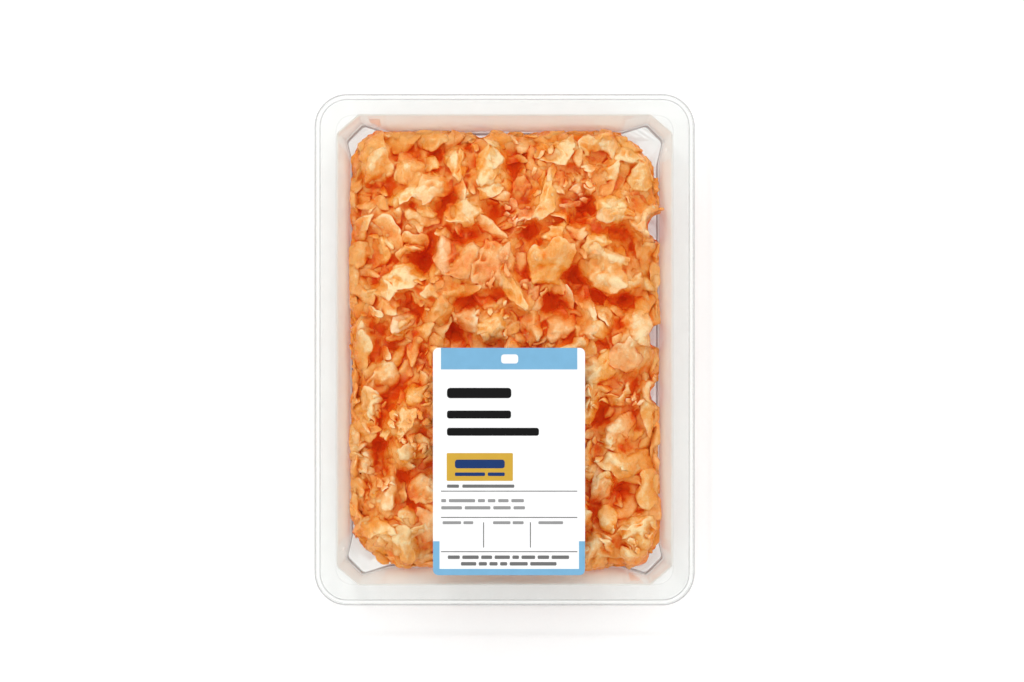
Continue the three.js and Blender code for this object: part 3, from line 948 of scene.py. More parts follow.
def shake(points, size, amount, shift=0.0):
    """Moves points every way by smooth noise."""
    moves = [soft_noise(points, size, shift + 11.3 * axis) for axis in range(3)]
    return points + amount * np.stack(moves, axis=1)


measured_noise = soft_noise(np.random.default_rng(1).uniform(0, 99, (1000, 3)), 1.0)
print("noise from", measured_noise.min().round(2), "to", measured_noise.max().round(2))

# %% [markdown]
# A flake is a closed cushion: rings of points from the middle of its top out to its rim, and back
# in along its underside. The rings crowd towards the rim, because that is where a torn edge needs
# its points. The same net serves for every flake, and only the places of its points differ.

# %% The net of a flake
def cushion_net(around, top_rings, under_rings):
    """How far out, at which angle and on which side each point of a flake lies, and its faces."""
    top = np.sin(np.linspace(0, 0.93 * np.pi / 2, top_rings + 1))[1:] / math.sin(0.93 * np.pi / 2)
    under = np.cos(np.linspace(0, np.pi / 2, under_rings + 1))[1:-1]
    out = np.concatenate([[0], np.repeat(np.concatenate([top, under]), around), [0]])
    side = np.concatenate([[1], np.ones(top_rings * around), -np.ones(len(under) * around), [-1]])
    ring = np.arange(around)
    angle = np.concatenate([[0], np.tile(ring * 2 * np.pi / around, top_rings + len(under)), [0]])
    beside = (ring + 1) % around
    faces = [np.c_[np.zeros(around, int), 1 + ring, 1 + beside, 1 + beside]]
    for step in range(top_rings + len(under) - 1):
        low = 1 + step * around
        high = low + around
        faces.append(np.c_[low + ring, high + ring, high + beside, low + beside])
    last = 1 + (top_rings + len(under) - 1) * around
    pole = np.full(around, last + around)
    faces.append(np.c_[pole, last + beside, last + ring, last + ring])
    return {"out": out, "angle": angle, "side": side, "faces": np.concatenate(faces)}


large_net = cushion_net(80, 15, 4)
middle_net = cushion_net(46, 8, 3)
small_net = cushion_net(16, 4, 2)
print("points in a flake:", [len(net["out"]) for net in (large_net, middle_net, small_net)])

# %% [markdown]
# Fish comes apart along its muscle layers. A torn flake shows these layers as low steps, like
# tiles on a roof, and its fibres end unevenly, so its two ends are frayed while its long sides
# are rather smooth. A lobe that was pressed against something is smooth and thick. A crumbly
# clump is rough all over. Each kind of flake is a handful of numbers, most in millimetres.

# %% Kinds of flake
KINDS = {
    "lobe": {
        "fray": 0.8, "thick": 0.55, "flat": 2.0, "layer": 0.3,
        "lift": 0.3, "lump": 1.8, "grit": 0.5, "crease": 0.3,
    },
    "torn": {
        "fray": 1.6, "thick": 0.50, "flat": 2.3, "layer": 0.5,
        "lift": 0.7, "lump": 2.0, "grit": 0.7, "crease": 0.4,
    },
    "strip": {
        "fray": 1.2, "thick": 0.60, "flat": 2.1, "layer": 0.4,
        "lift": 0.5, "lump": 1.9, "grit": 0.55, "crease": 0.55,
    },
    "clump": {
        "fray": 1.3, "thick": 0.54, "flat": 2.2, "layer": 0.2,
        "lift": 0.4, "lump": 1.8, "grit": 0.8, "crease": 1.0,
    },
    "crumb": {
        "fray": 0.8, "thick": 0.60, "flat": 2.0, "layer": 0.0,
        "lift": 0.0, "lump": 0.9, "grit": 0.8, "crease": 0.2,
    },
}
MOST_FRAY = max(form["fray"] for form in KINDS.values())
print("kinds of flake:", sorted(KINDS))

# %% [markdown]
# A flake starts as an oval seen from above. Three waves round its rim keep it from being even,
# and noise frays it: strongly and in narrow tufts at the two ends, where the fibres tear, and
# weakly along the sides.

# %% A flake seen from above
def signed_power(value, power):
    return np.sign(value) * np.abs(value) ** power


def flake_plan(net, form, length, width, phase, seed):
    """Places of a flake's points along and across its fibres."""
    out, angle = net["out"], net["angle"]
    rim = 1 + 0.13 * np.sin(2 * angle + phase[0]) + 0.10 * np.sin(3 * angle + phase[1])
    rim += 0.06 * np.sin(5 * angle + phase[2])
    x = out * rim * np.cos(angle) * length / 2
    y = out * rim * np.sin(angle) * width / 2
    ends = soft_noise(np.c_[y / 1.9, np.sign(x) * 5, x / 8], 1.0, seed)
    ends += 0.4 * soft_noise(np.c_[y / 0.8, np.sign(x) * 5, x / 8], 1.0, seed + 1)
    sides = soft_noise(np.c_[x / 2.4, np.sign(y) * 5, y / 8], 1.0, seed + 3)
    x += form["fray"] * signed_power(2 * x / length, 2) * (ends - 0.15)
    y += 0.5 * form["fray"] * signed_power(2 * y / width, 2) * sides
    return x, y


even_phase = np.zeros(6)
x, y = flake_plan(middle_net, KINDS["torn"], 14, 8, even_phase, 0.0)
print("a torn flake of 14 by 8 mm frays out to", np.ptp(x).round(1), "by", np.ptp(y).round(1), "mm")

# %% [markdown]
# The upper side of a flake has a relief. Its muscle layers are slanted steps that rise slowly and
# fall off quickly, and between them lie creases, for which noise is folded at its zero. Near the
# rim the relief fades away.

# %% Layers and creases
def flake_relief(net, form, x, y, z, slant, period, seed):
    """How far the layers and creases raise or lower each point."""
    layer = (x * math.cos(slant) + y * math.sin(slant) + 0.05 * y * y + 50) / period % 1
    fall = np.clip((layer - 0.78) / 0.22, 0, 1)
    relief = form["layer"] * (layer - fall * fall * (3 - 2 * fall) - 0.4)
    relief += form["crease"] * (0.5 - 2 * np.abs(soft_noise(np.c_[x / 1.5, y, z], 2.9, seed + 5)))
    relief += 0.25 * form["crease"] * soft_noise(np.c_[x, y, z], 1.3, seed + 6)
    return relief * np.where(net["side"] > 0, 1 - net["out"] ** 6, 0)


relief = flake_relief(middle_net, KINDS["torn"], x, y, x * 0, 0.6, 3.0, 0.0)
print("its relief goes from", relief.min().round(2), "to", relief.max().round(2), "mm")

# %% [markdown]
# The whole flake is a thick dome above and a thinner one below, thicker on one side than on the
# other. Its rim lifts in two places, its ends curl, and it may be bent into a hook. Three sizes
# of noise then shake every point, so that no face of it stays regular.

# %% The whole flake
WIDEST_THICK = 9.0
SHARE_ABOVE = 0.62


def flake_points(net, kind, length, width, bend, curl, draw):
    """A flake's points around its own middle, fibres along x, and how far its creases stand up."""
    form = KINDS[kind]
    out, angle, side = net["out"], net["angle"], net["side"]
    phase = draw.uniform(0, 2 * np.pi, 6)
    seed = draw.uniform(0, 30)
    x, y = flake_plan(net, form, length, width, phase, seed)
    thickness = form["thick"] * min(width, WIDEST_THICK)
    dome = (1 - out ** form["flat"]) ** 0.5
    z = np.where(side > 0, SHARE_ABOVE * thickness * dome, (SHARE_ABOVE - 1) * thickness * dome)
    z *= 1 + 0.45 * np.sin(angle + phase[3]) * out
    slant = draw.uniform(0.2, 1.1)
    period = draw.uniform(2.4, 3.6)
    relief = flake_relief(net, form, x, y, z, slant, period, seed)
    z += relief
    z += form["lift"] * (0.5 + 0.5 * np.sin(2 * angle + phase[4])) * out**4
    z += curl * ((2 * x / length) ** 2 - 0.3)
    if abs(bend) > 1e-3:
        turn = x * bend / length
        arc = length / bend
        x, y = (arc - y) * np.sin(turn), arc - (arc - y) * np.cos(turn)
    points = shake(np.c_[x, y, z], 6.5, form["lump"], seed + 7)
    points = shake(points, 2.2, form["grit"], seed + 9)
    return shake(points, 1.1, 0.25 * form["grit"], seed + 13), relief


whole, relief = flake_points(middle_net, "torn", 14, 8, 0.0, 0.0, np.random.default_rng(1))
print("the whole flake measures", np.ptp(whole, axis=0).round(1), "mm")

# %% [markdown]
# Flakes fall on each other, so each one has to know what lies under it. A physics engine could
# drop them, but hundreds of soft wet flakes would take it hours. A grid of heights, one millimetre
# apart, is enough: it remembers the top of the heap and can be read at any place.

# %% The ground that flakes are laid on
GROUND_SINK = 5.0
GROUND_INSET = 0.8
FLOOR_GAP = 0.35
FLOOR_LEVEL = WALL + FLOOR_GAP
GROUND_HALF = (64, 90)

ground_x = np.arange(-GROUND_HALF[0], GROUND_HALF[0] + 1.0)
ground_y = np.arange(-GROUND_HALF[1], GROUND_HALF[1] + 1.0)
grid_x, grid_y = np.meshgrid(ground_x, ground_y)
within = inside_heap(grid_x, grid_y) > GROUND_INSET
wanted = heap_height(grid_x, grid_y) - hollow_depth(grid_x, grid_y)
ground = np.where(within, wanted - GROUND_SINK, FLOOR_LEVEL)


def softened(heights, times):
    """Heights with their small steps blurred away."""
    for _ in range(times):
        padded = np.pad(heights, 1, mode="edge")
        across = (padded[1:-1, :-2] + padded[1:-1, 2:]) / 4 + padded[1:-1, 1:-1] / 2
        padded = np.pad(across, 1, mode="edge")
        heights = (padded[:-2, 1:-1] + padded[2:, 1:-1]) / 4 + padded[1:-1, 1:-1] / 2
    return heights


def read_heights(heights, x, y):
    """Heights at any places, from the four nearest of the grid."""
    column = np.clip(x + GROUND_HALF[0], 0, heights.shape[1] - 1.001)
    row = np.clip(y + GROUND_HALF[1], 0, heights.shape[0] - 1.001)
    c, r = column.astype(int), row.astype(int)
    a, b = column - c, row - r
    lower = heights[r, c] * (1 - a) + heights[r, c + 1] * a
    upper = heights[r + 1, c] * (1 - a) + heights[r + 1, c + 1] * a
    return lower * (1 - b) + upper * b


print("ground:", ground.shape, "heights")

# %% [markdown]
# The tray's walls and the film squash whatever would go through them. The heap also has an outline
# of its own that flakes may hang over a little, and some gaps along the walls stay free. Both are
# uneven, because a clean line round torn fish looks cut.

# %% Keep the heap inside the tray
FILM_CLEARANCE = 1.0
WALL_CLEARANCE = 0.4
OVERHANG = 1.8
OUTLINE_UNEVEN = 3.2
NO_LIMIT = 200


def keep_from_gaps(points):
    """Pushes points inwards, out of the uneven gaps that the heap leaves along the walls."""
    uneven = 1 + GAP_UNEVEN * soft_noise(points, 2.6, 5.0)
    for x, y, size in WALL_GAPS:
        radius = size * uneven
        across, along = (0, 1) if abs(x) > abs(y) * HALF_HEAP[0] / HALF_HEAP[1] else (1, 0)
        side = np.sign((x, y)[across])
        bite = np.sqrt(np.maximum(radius**2 - (points[:, along] - (x, y)[along]) ** 2, 0))
        limit = np.where(bite > 0, abs((x, y)[across]) - bite, NO_LIMIT)
        points[:, across] = side * np.minimum(side * points[:, across], limit)
    return points


def squash_into_tray(points):
    """Holds points between the floor, the walls and the film."""
    points[:, 2] = np.clip(points[:, 2], FLOOR_LEVEL, SEAL_HEIGHT - FILM_CLEARANCE)
    up = (points[:, 2] - WALL) / (SEAL_HEIGHT - STEP_DROP - WALL)
    low = np.array(FLOOR["half"]) - FLOOR["lean"]
    for axis in (0, 1):
        limit = low[axis] + (MOUTH["half"][axis] - low[axis]) * up - WALL_CLEARANCE
        points[:, axis] = np.clip(points[:, axis], -limit, limit)
    uneven = OUTLINE_UNEVEN * (soft_noise(points, 5.0, 2.0) + 0.5 * soft_noise(points, 1.8, 3.0))
    outside = np.maximum(uneven - OVERHANG - inside_heap(points[:, 0], points[:, 1]), 0)
    points[:, :2] *= (1 - outside / np.hypot(points[:, 0], points[:, 1]))[:, None]
    return points


far_out = squash_into_tray(np.array([[90.0, 10.0, 90.0]]))
print("a point far out and high up ends at", far_out.round(1))

# %% [markdown]
# A new flake is tipped, follows the slope of the ground under it and sinks in until a part of its
# underside is buried. It is limp, so it also sags into the ground's own dips. Then it raises the
# grid where it lies.

# %% Lay a flake
STEEPEST = 0.7
SAG_MOST = 3


def tipped(points, roll, pitch):
    """Points turned about their own x axis and then about their y axis."""
    x, y, z = points.T
    y, z = y * math.cos(roll) - z * math.sin(roll), y * math.sin(roll) + z * math.cos(roll)
    x, z = x * math.cos(pitch) + z * math.sin(pitch), z * math.cos(pitch) - x * math.sin(pitch)
    return np.c_[x, y, z]


def lay(net, kind, x, y, length, width, turn, draw, bend, tip, buried, curl=0.0, sag=0.55):
    """Lays one flake on the heap and returns its points and its relief."""
    flat, relief = flake_points(net, kind, length, width, bend, curl, draw)
    flat = tipped(flat, *draw.uniform(-tip, tip, 2))
    cos, sin = math.cos(turn), math.sin(turn)
    plan_x = x + flat[:, 0] * cos - flat[:, 1] * sin
    plan_y = y + flat[:, 0] * sin + flat[:, 1] * cos
    below = read_heights(softened(ground, 2), plan_x, plan_y)
    facing = np.c_[np.ones(len(flat)), plan_x - x, plan_y - y]
    slope = np.clip(np.linalg.lstsq(facing, below, rcond=None)[0][1:], -STEEPEST, STEEPEST)
    plane = facing[:, 1:] @ slope
    z = flat[:, 2] + plane
    under = net["side"] < 0
    level = np.quantile((below - z)[under], buried)
    z = z + level + sag * np.clip(below - plane - level, -SAG_MOST, SAG_MOST)
    points = squash_into_tray(keep_from_gaps(np.c_[plan_x, plan_y, z]))
    upper = points[~under]
    column = np.rint(upper[:, 0] + GROUND_HALF[0]).astype(int)
    row = np.rint(upper[:, 1] + GROUND_HALF[1]).astype(int)
    np.maximum.at(ground, (row, column), upper[:, 2])
    return points, relief


print("steepest ground that a flake follows:", round(math.degrees(math.atan(STEEPEST))), "degrees")

# %% [markdown]
# All flakes of one kind become one mesh. While they are laid, their points are gathered in a
# list together with what the colour needs to know about them: how pale the flake is, how pink,
# how near each point is to the thin rim, and how high it lies within its flake, which paints light
# on the flake's high side and shade on its low side.

# %% Gather flakes by kind
gathered = {}


def gather(group, points, relief, net, pale, pink, ragged):
    """Adds a flake to the mesh of its kind."""
    rim = np.where(net["side"] > 0, net["out"] ** 4, 0.0) * ragged
    row = {"points": points, "faces": net["faces"], "relief": relief}
    low, high = np.quantile(points[net["side"] > 0, 2], (0.05, 0.95))
    row["rise"] = np.clip((points[:, 2] - low) / max(high - low, 0.5), 0, 1)
    row["pale"] = np.full(len(points), pale)
    row["pink"] = np.full(len(points), pink)
    row["rim"] = rim
    gathered.setdefault(group, []).append(row)


def join_group(group):
    """The points, faces and numbers of all flakes of a kind."""
    rows = gathered[group]
    starts = np.cumsum([0] + [len(row["points"]) for row in rows[:-1]])
    names = ("points", "pale", "pink", "rim", "rise", "relief")
    joined = {name: np.concatenate([row[name] for row in rows]) for name in names}
    quads = np.concatenate([row["faces"] + start for row, start in zip(rows, starts)])
    joined["faces"] = [face[:3] if face[2] == face[3] else face for face in quads.tolist()]
    return joined


print("flakes gathered so far:", len(gathered))

# %% [markdown]
# The clear walls show the side of the heap as well. There the flakes are pressed flat against
# the plastic or stand close to it. They can't be dropped from above, so these are stood up: each
# turns its thickness outwards and is then squashed by the wall like the others.

# %% Flakes that stand along the walls
SIDE_LEVELS = (3.2, 7.0)
SIDE_PITCH = 9.5
SIDE_INSET = 0.6
RANDOM_SEED = 20

draw = np.random.default_rng(RANDOM_SEED)


def outline_point(angle):
    """The point in this direction that lies a little inside the heap's outline."""
    reach = np.arange(20.0, 110.0, 0.25)
    inside = inside_heap(reach * math.cos(angle), reach * math.sin(angle))
    out = reach[np.argmax(inside < SIDE_INSET)]
    return np.array([out * math.cos(angle), out * math.sin(angle)])


def stand_flake(angle, level):
    place = outline_point(angle)
    ahead = outline_point(angle + 0.02) - outline_point(angle - 0.02)
    along = ahead / np.linalg.norm(ahead)
    outward = np.array([along[1], -along[0]])
    length = draw.uniform(11, 18)
    width = draw.uniform(6.5, 9.5)
    kind = draw.choice(["lobe", "torn"])
    flat, relief = flake_points(middle_net, kind, length, width, 0.0, 0.0, draw)
    turn = draw.uniform(-0.5, 0.5)
    run = flat[:, 0] * math.cos(turn) - flat[:, 1] * math.sin(turn)
    rise = flat[:, 0] * math.sin(turn) + flat[:, 1] * math.cos(turn)
    plan = place + run[:, None] * along + flat[:, 2:] * outward
    points = np.c_[plan, level + rise + draw.uniform(-1, 1)]
    points = squash_into_tray(keep_from_gaps(points))
    pale = draw.uniform(0.2, 0.5)
    gather("side_" + kind, points, relief, middle_net, pale, draw.uniform(0, 0.2), 0.3)


for level in SIDE_LEVELS:
    count = int(4 * HALF_HEAP.sum() / SIDE_PITCH)
    for step in range(count):
        stand_flake((step + draw.uniform(-0.3, 0.3)) * 2 * np.pi / count, level)
print("side flakes:", len(SIDE_LEVELS) * count)

# %% [markdown]
# Then come the flakes that fill the heap. Again and again the place that lies lowest under the
# wished height gets the next flake, until no place is much lower than the heap should be.
# Neighbours come from the same part of the fish, so how pale they are changes slowly over the
# heap, and those in the middle are pinker.

# %% Fill the heap
FILL_STOP = -1.5
FILL_MOST = 470


def lay_filler(x, y):
    length = draw.uniform(9, 17)
    width = length * draw.uniform(0.5, 0.75)
    kind = draw.choice(["torn", "lobe", "strip"], p=[0.40, 0.32, 0.28])
    if kind == "strip":
        width = length * draw.uniform(0.36, 0.52)
    points, relief = lay(
        middle_net, kind, x, y, length, width, draw.uniform(0, 2 * np.pi), draw,
        bend=draw.uniform(-1.2, 1.2), curl=draw.uniform(-2.2, 1.2), tip=0.65, buried=0.6,
    )
    pale = 0.45 + 0.35 * soft_noise(np.array([[x, y, 0.0]]), 16)[0] + draw.uniform(-0.1, 0.1)
    pink = draw.uniform(0, 0.4) + 0.5 * math.exp(-((x / 25) ** 2) - ((y - 25) / 22) ** 2)
    ragged = KINDS[kind]["fray"] / MOST_FRAY
    gather("filling_" + kind, points, relief, middle_net, pale, pink, ragged)


for _ in range(FILL_MOST):
    lack = np.where(within, softened(ground, 3) - wanted, 99)
    lowest = np.argmin(lack + draw.uniform(0, 1.5, lack.shape))
    if lack.flat[lowest] > FILL_STOP:
        break
    lay_filler(grid_x.flat[lowest], grid_y.flat[lowest])
print("filling flakes:", {name: len(rows) for name, rows in gathered.items()})
print("lack of height:", np.percentile(lack[within], (1, 25, 50, 75, 99)).round(1), "mm")

# %% [markdown]
# On top lie the flakes that a buyer sees first. They are laid one by one, as a food stylist would:
# each has a place, a length and a width in millimetres, the angle it is turned to, its kind, how
# pale and how pink it is, and how far it is bent into a hook. All are laid a tenth larger than
# listed, because their edges sink among the others.

# %% Flakes laid one by one
SHOWN_FLAKES = [
    (-38.9, 78.0, 15, 9, 10, "lobe", 0.50, 0.0, 0.0),
    (-27.0, 77.5, 12, 9, 0, "lobe", 0.50, 0.0, 0.0),
    (-49.1, 75.5, 12, 8, 60, "lobe", 0.50, 0.1, 0.0),
    (-46.5, 66.0, 14, 11, 80, "lobe", 0.42, 0.1, 0.0),
    (-36.0, 66.5, 13, 9, 100, "lobe", 0.38, 0.2, 0.0),
    (-38.2, 56.9, 13, 5.5, 20, "torn", 0.92, 0.0, 0.2),
    (-27.0, 59.8, 14, 11, 30, "torn", 0.72, 0.3, 0.0),
    (-29.4, 50.3, 7, 3.5, -20, "strip", 0.80, 0.1, 1.6),
    (-15.7, 50.8, 15, 9.5, 28, "torn", 0.92, 0.1, 0.0),
    (-7.5, 58.5, 10, 4.5, 5, "torn", 0.90, 0.1, 0.3),
    (-16.5, 68.0, 12, 8, 100, "torn", 0.62, 0.0, 0.0),
    (-6.5, 69.0, 14, 9, 85, "torn", 0.64, 0.0, 0.3),
    (-2.0, 77.5, 12, 8, 20, "lobe", 0.60, 0.0, 0.0),
    (-34.1, 37.9, 13, 3.2, 10, "strip", 0.88, 0.1, -2.4),
    (-36.5, 27.0, 15, 10, 38, "torn", 1.00, 0.0, 0.0),
    (-45.5, 21.8, 12, 7, 8, "torn", 0.90, 0.1, 0.0),
    (-4.9, 30.6, 18, 15, 60, "clump", 0.84, 0.5, 0.0),
    (-21.0, 35.3, 13, 11, 95, "lobe", 0.62, 0.8, 0.0),
    (-19.9, 22.2, 18, 7.5, 3, "torn", 0.90, 0.1, 0.3),
    (-2.7, 10.5, 15, 14, 50, "clump", 1.00, 0.0, 0.0),
    (-47.3, 12.7, 9, 6, 20, "torn", 0.84, 0.2, 0.0),
    (-37.1, 11.6, 12, 4.5, 45, "strip", 0.60, 0.7, 0.2),
    (-14.1, 11.6, 12, 7.5, 10, "torn", 0.70, 0.6, 0.0),
    (-24.5, 13.0, 12, 9, 60, "lobe", 0.52, 0.2, 0.0),
    (15.0, 56.9, 22, 7, 72, "strip", 0.68, 0.0, 0.25),
    (37.6, 65.6, 13, 6, 22, "torn", 0.86, 0.0, 0.3),
    (40.5, 54.0, 14, 4.5, 10, "strip", 0.86, 0.0, -1.9),
    (42.5, 48.5, 12, 5.5, 5, "torn", 0.84, 0.0, -0.8),
    (18.4, 43.0, 13, 9, 48, "torn", 0.90, 0.0, 0.0),
    (33.4, 39.5, 12, 5.5, 14, "strip", 0.70, 0.0, 0.0),
    (36.3, 30.0, 19, 13, -35, "torn", 0.88, 0.2, 0.0),
    (16.3, 31.3, 18, 13, 65, "torn", 0.96, 0.0, 0.0),
    (2.6, 24.7, 21, 6, -65, "strip", 0.84, 0.0, 0.2),
    (51.0, 34.0, 22, 13, 85, "lobe", 0.56, 0.2, 0.0),
    (29.8, 16.3, 19, 6.5, -65, "torn", 0.70, 0.4, 0.3),
    (46.6, 10.5, 16, 13, 60, "lobe", 0.60, 0.3, 0.0),
    (51.5, 17.5, 9, 7, 20, "lobe", 0.50, 0.1, 0.0),
    (46.6, 23.6, 11, 4.5, 20, "strip", 0.66, 0.1, 0.4),
    (9.7, 8.7, 12, 9, 110, "lobe", 0.50, 0.3, 0.0),
    (19.5, 9.5, 12, 8, 70, "lobe", 0.46, 0.5, 0.0),
    (51.9, 63.8, 13, 10, 60, "torn", 0.74, 0.0, 0.0),
    (29.8, 59.0, 9, 5.5, 20, "clump", 0.74, 0.7, 0.0),
    (26.3, 53.9, 9, 3, 10, "strip", 0.70, 0.8, 0.2),
    (4.9, 50.3, 10, 9, 20, "clump", 0.70, 0.8, 0.0),
    (20.0, 74.5, 14, 9, 10, "torn", 0.66, 0.0, 0.0),
    (33.0, 76.0, 13, 8, 40, "torn", 0.70, 0.0, 0.0),
    (46.0, 72.5, 11, 8, -30, "torn", 0.62, 0.0, 0.0),
    (-53.1, -0.1, 13, 8, 90, "lobe", 0.50, 0.0, 0.0),
    (-44.4, -10.0, 12, 9, 60, "lobe", 0.62, 0.3, 0.0),
    (-50.6, -20.6, 14, 10, 70, "clump", 0.80, 0.0, 0.0),
    (-32.7, -15.7, 9, 8, 30, "lobe", 0.70, 0.0, 0.0),
    (-38.2, -27.5, 11, 10, 45, "clump", 0.98, 0.0, 0.0),
    (-31.7, -36.6, 15, 8, 8, "clump", 0.98, 0.0, 0.0),
    (-27.7, -22.4, 14, 9, 85, "clump", 0.92, 0.0, 0.0),
    (-53.4, -41.7, 8, 6, 30, "torn", 0.86, 0.1, 0.0),
    (-45.1, -47.9, 8, 6, 40, "clump", 0.74, 0.3, 0.0),
    (-42.5, -54.4, 13, 9, 72, "lobe", 0.60, 0.3, 0.0),
    (-30.1, -50.9, 11, 9, 60, "torn", 0.62, 0.4, 0.0),
    (-27.7, -64.0, 12, 10, 90, "lobe", 0.70, 0.6, 0.0),
    (-35.8, -73.0, 14, 8, 98, "lobe", 0.68, 0.0, 0.0),
    (-47.0, -66.0, 13, 8, -30, "torn", 0.60, 0.0, 0.0),
    (34.9, -6.3, 13, 9.5, 70, "lobe", 0.95, 0.0, 0.0),
    (32.3, -17.6, 13, 8, 80, "clump", 0.90, 0.0, 0.0),
    (38.0, -32.2, 15, 5, 65, "torn", 0.68, 0.1, 0.0),
    (45.5, -41.7, 22, 9, 8, "lobe", 0.64, 0.1, 0.1),
    (34.5, -50.5, 13, 9, 80, "lobe", 0.66, 0.6, 0.0),
    (53.0, -50.9, 14, 8, 95, "lobe", 0.54, 0.0, 0.0),
    (49.0, -67.5, 15, 13, 20, "clump", 0.76, 0.0, 0.0),
    (47.5, -77.0, 10, 8, 0, "lobe", 0.52, 0.1, 0.0),
    (31.5, -70.5, 12, 7, 90, "lobe", 0.66, 0.2, 0.0),
    (37.5, -72.0, 10, 4.5, -35, "torn", 0.86, 0.1, 0.0),
    (33.8, -78.5, 9, 8, 60, "lobe", 0.50, 0.1, 0.0),
    (43.6, -18.0, 14, 4.5, 70, "torn", 0.58, 0.2, 0.5),
    (48.4, -19.5, 7, 5, 40, "clump", 0.74, 0.4, 0.0),
    (53.6, -22.0, 18, 6, 92, "lobe", 0.52, 0.0, 0.0),
    (44.7, -1.9, 13, 10, 60, "lobe", 0.58, 0.6, 0.0),
    (42.0, -28.5, 13, 9, 50, "lobe", 0.50, 0.5, 0.0),
]
SHOWN_SCALE = 1.1


def lay_shown(x, y, length, width, degrees, kind, pale, pink, bend):
    points, relief = lay(
        large_net, kind, x, y, length * SHOWN_SCALE, width * SHOWN_SCALE, math.radians(degrees),
        draw, bend=bend, curl=draw.uniform(-1.4, 0.8), tip=0.42, buried=0.3,
    )
    gather("top_" + kind, points, relief, large_net, pale, pink, KINDS[kind]["fray"] / MOST_FRAY)


for flake in SHOWN_FLAKES:
    lay_shown(*flake)
print("shown flakes:", len(SHOWN_FLAKES))

# %% [markdown]
# Torn fish sheds crumbs. They gather where the flakes are pale and broken, so most of them are
# scattered round the crumbly clumps, and the rest fall anywhere. A crumb is a small rough cushion
# that is laid like a flake.

# %% Crumbs
CRUMBS_ON_CLUMPS = 6
CRUMBS_ANYWHERE = 50
CRUMB_INSET = 2.5


def lay_crumb(x, y, pale, pink):
    size = draw.uniform(1.4, 3.2)
    turn = draw.uniform(0, 2 * np.pi)
    points, relief = lay(
        small_net, "crumb", x, y, size * 1.4, size * draw.uniform(0.6, 0.95), turn, draw,
        bend=draw.uniform(-1.2, 1.2), tip=0.5, buried=0.8, sag=0.0,
    )
    gather("crumbs", points, relief, small_net, pale, pink, 0.7)


for x, y, length, width, degrees, kind, pale, pink, bend in SHOWN_FLAKES:
    if kind == "clump":
        for _ in range(CRUMBS_ON_CLUMPS):
            far = math.sqrt(draw.random()) * (length + width) / 4
            way = draw.uniform(0, 2 * np.pi)
            lay_crumb(x + far * math.cos(way), y + far * math.sin(way), pale, pink)
for _ in range(CRUMBS_ANYWHERE):
    x = draw.uniform(-1, 1) * HALF_HEAP[0]
    y = draw.uniform(-1, 1) * HALF_HEAP[1]
    if inside_heap(np.array([x]), np.array([y]))[0] > CRUMB_INSET:
        lay_crumb(x, y, draw.uniform(0.35, 0.95), draw.uniform(0, 0.3))
print("crumbs:", len(gathered["crumbs"]))

# %% [markdown]
# Moist flakes cling together, so one can't look far down between them. A core fills the heap up
# to a little under the flakes: its top follows the ground that they have raised, smoothed, and
# has creases of its own. It is a grid whose outermost points are drawn in onto the heap's
# outline and whose rim goes down to the floor of the tray.

# %% The core's shape
CORE_INSET = 2.5
CORE_UNDER = 1.0
CORE_BLUR = 4
CORE_LUMPS = 0.9
CORE_CELLS = (156, 228)


def core_shape():
    half = HALF_HEAP - CORE_INSET
    across = np.linspace(-half[0], half[0], CORE_CELLS[0] + 1)
    along = np.linspace(-half[1], half[1], CORE_CELLS[1] + 1)
    x, y = (part.ravel() for part in np.meshgrid(across, along))
    outside = np.maximum(CORE_INSET - inside_heap(x, y), 0)
    draw_in = 1 - outside / np.maximum(np.hypot(x, y), 1)
    x = x * draw_in
    y = y * draw_in
    level = read_heights(softened(ground, CORE_BLUR), x, y) - CORE_UNDER
    top = np.c_[x, y, np.maximum(level, FLOOR_LEVEL)]
    bent = shake(top * (1, 1, 0.3), 4, 2)
    relief = 0.6 - 2 * np.abs(soft_noise(bent, 3.4)) + 0.4 * soft_noise(bent, 1.7)
    top[:, 2] += CORE_LUMPS * relief
    top = keep_from_gaps(shake(top, 3, 0.6))
    columns, rows = CORE_CELLS[0] + 1, CORE_CELLS[1] + 1
    faces = [
        (at, at + 1, at + columns + 1, at + columns)
        for row in range(rows - 1)
        for at in range(row * columns, row * columns + columns - 1)
    ]
    rim = list(range(columns))
    rim += [row * columns + columns - 1 for row in range(1, rows)]
    rim += [(rows - 1) * columns + column for column in range(columns - 2, -1, -1)]
    rim += [row * columns for row in range(rows - 2, 0, -1)]
    return top, faces, rim, relief


core_top, core_faces, core_rim, core_relief = core_shape()
print("core: from", core_top[:, 2].min().round(1), "to", core_top[:, 2].max().round(1), "mm high")

# %% [markdown]
# The core has to be a closed body, like every other piece. Three rings under its rim make its
# side, and one many-sided face lies on the tray's floor.

# %% Close the core
def closed_core(points, faces, rim, relief):
    """The core's top with its side and underside."""
    levels = [points]
    previous = rim
    for share in (0.66, 0.33, 0.0):
        ring = points[rim].copy()
        ring[:, 2] = FLOOR_LEVEL + (ring[:, 2] - FLOOR_LEVEL) * share
        first = sum(len(level) for level in levels)
        levels.append(ring)
        current = list(range(first, first + len(rim)))
        pairs = zip(previous, previous[1:] + previous[:1], current, current[1:] + current[:1])
        faces += [(b, a, c, d) for a, b, c, d in pairs]
        previous = current
    faces.append(previous[::-1])
    points = np.concatenate(levels)
    return points, faces, np.pad(relief, (0, len(points) - len(relief)))


core_points, core_faces, core_relief = closed_core(core_top, core_faces, core_rim, core_relief)
print("core:", len(core_points), "points")
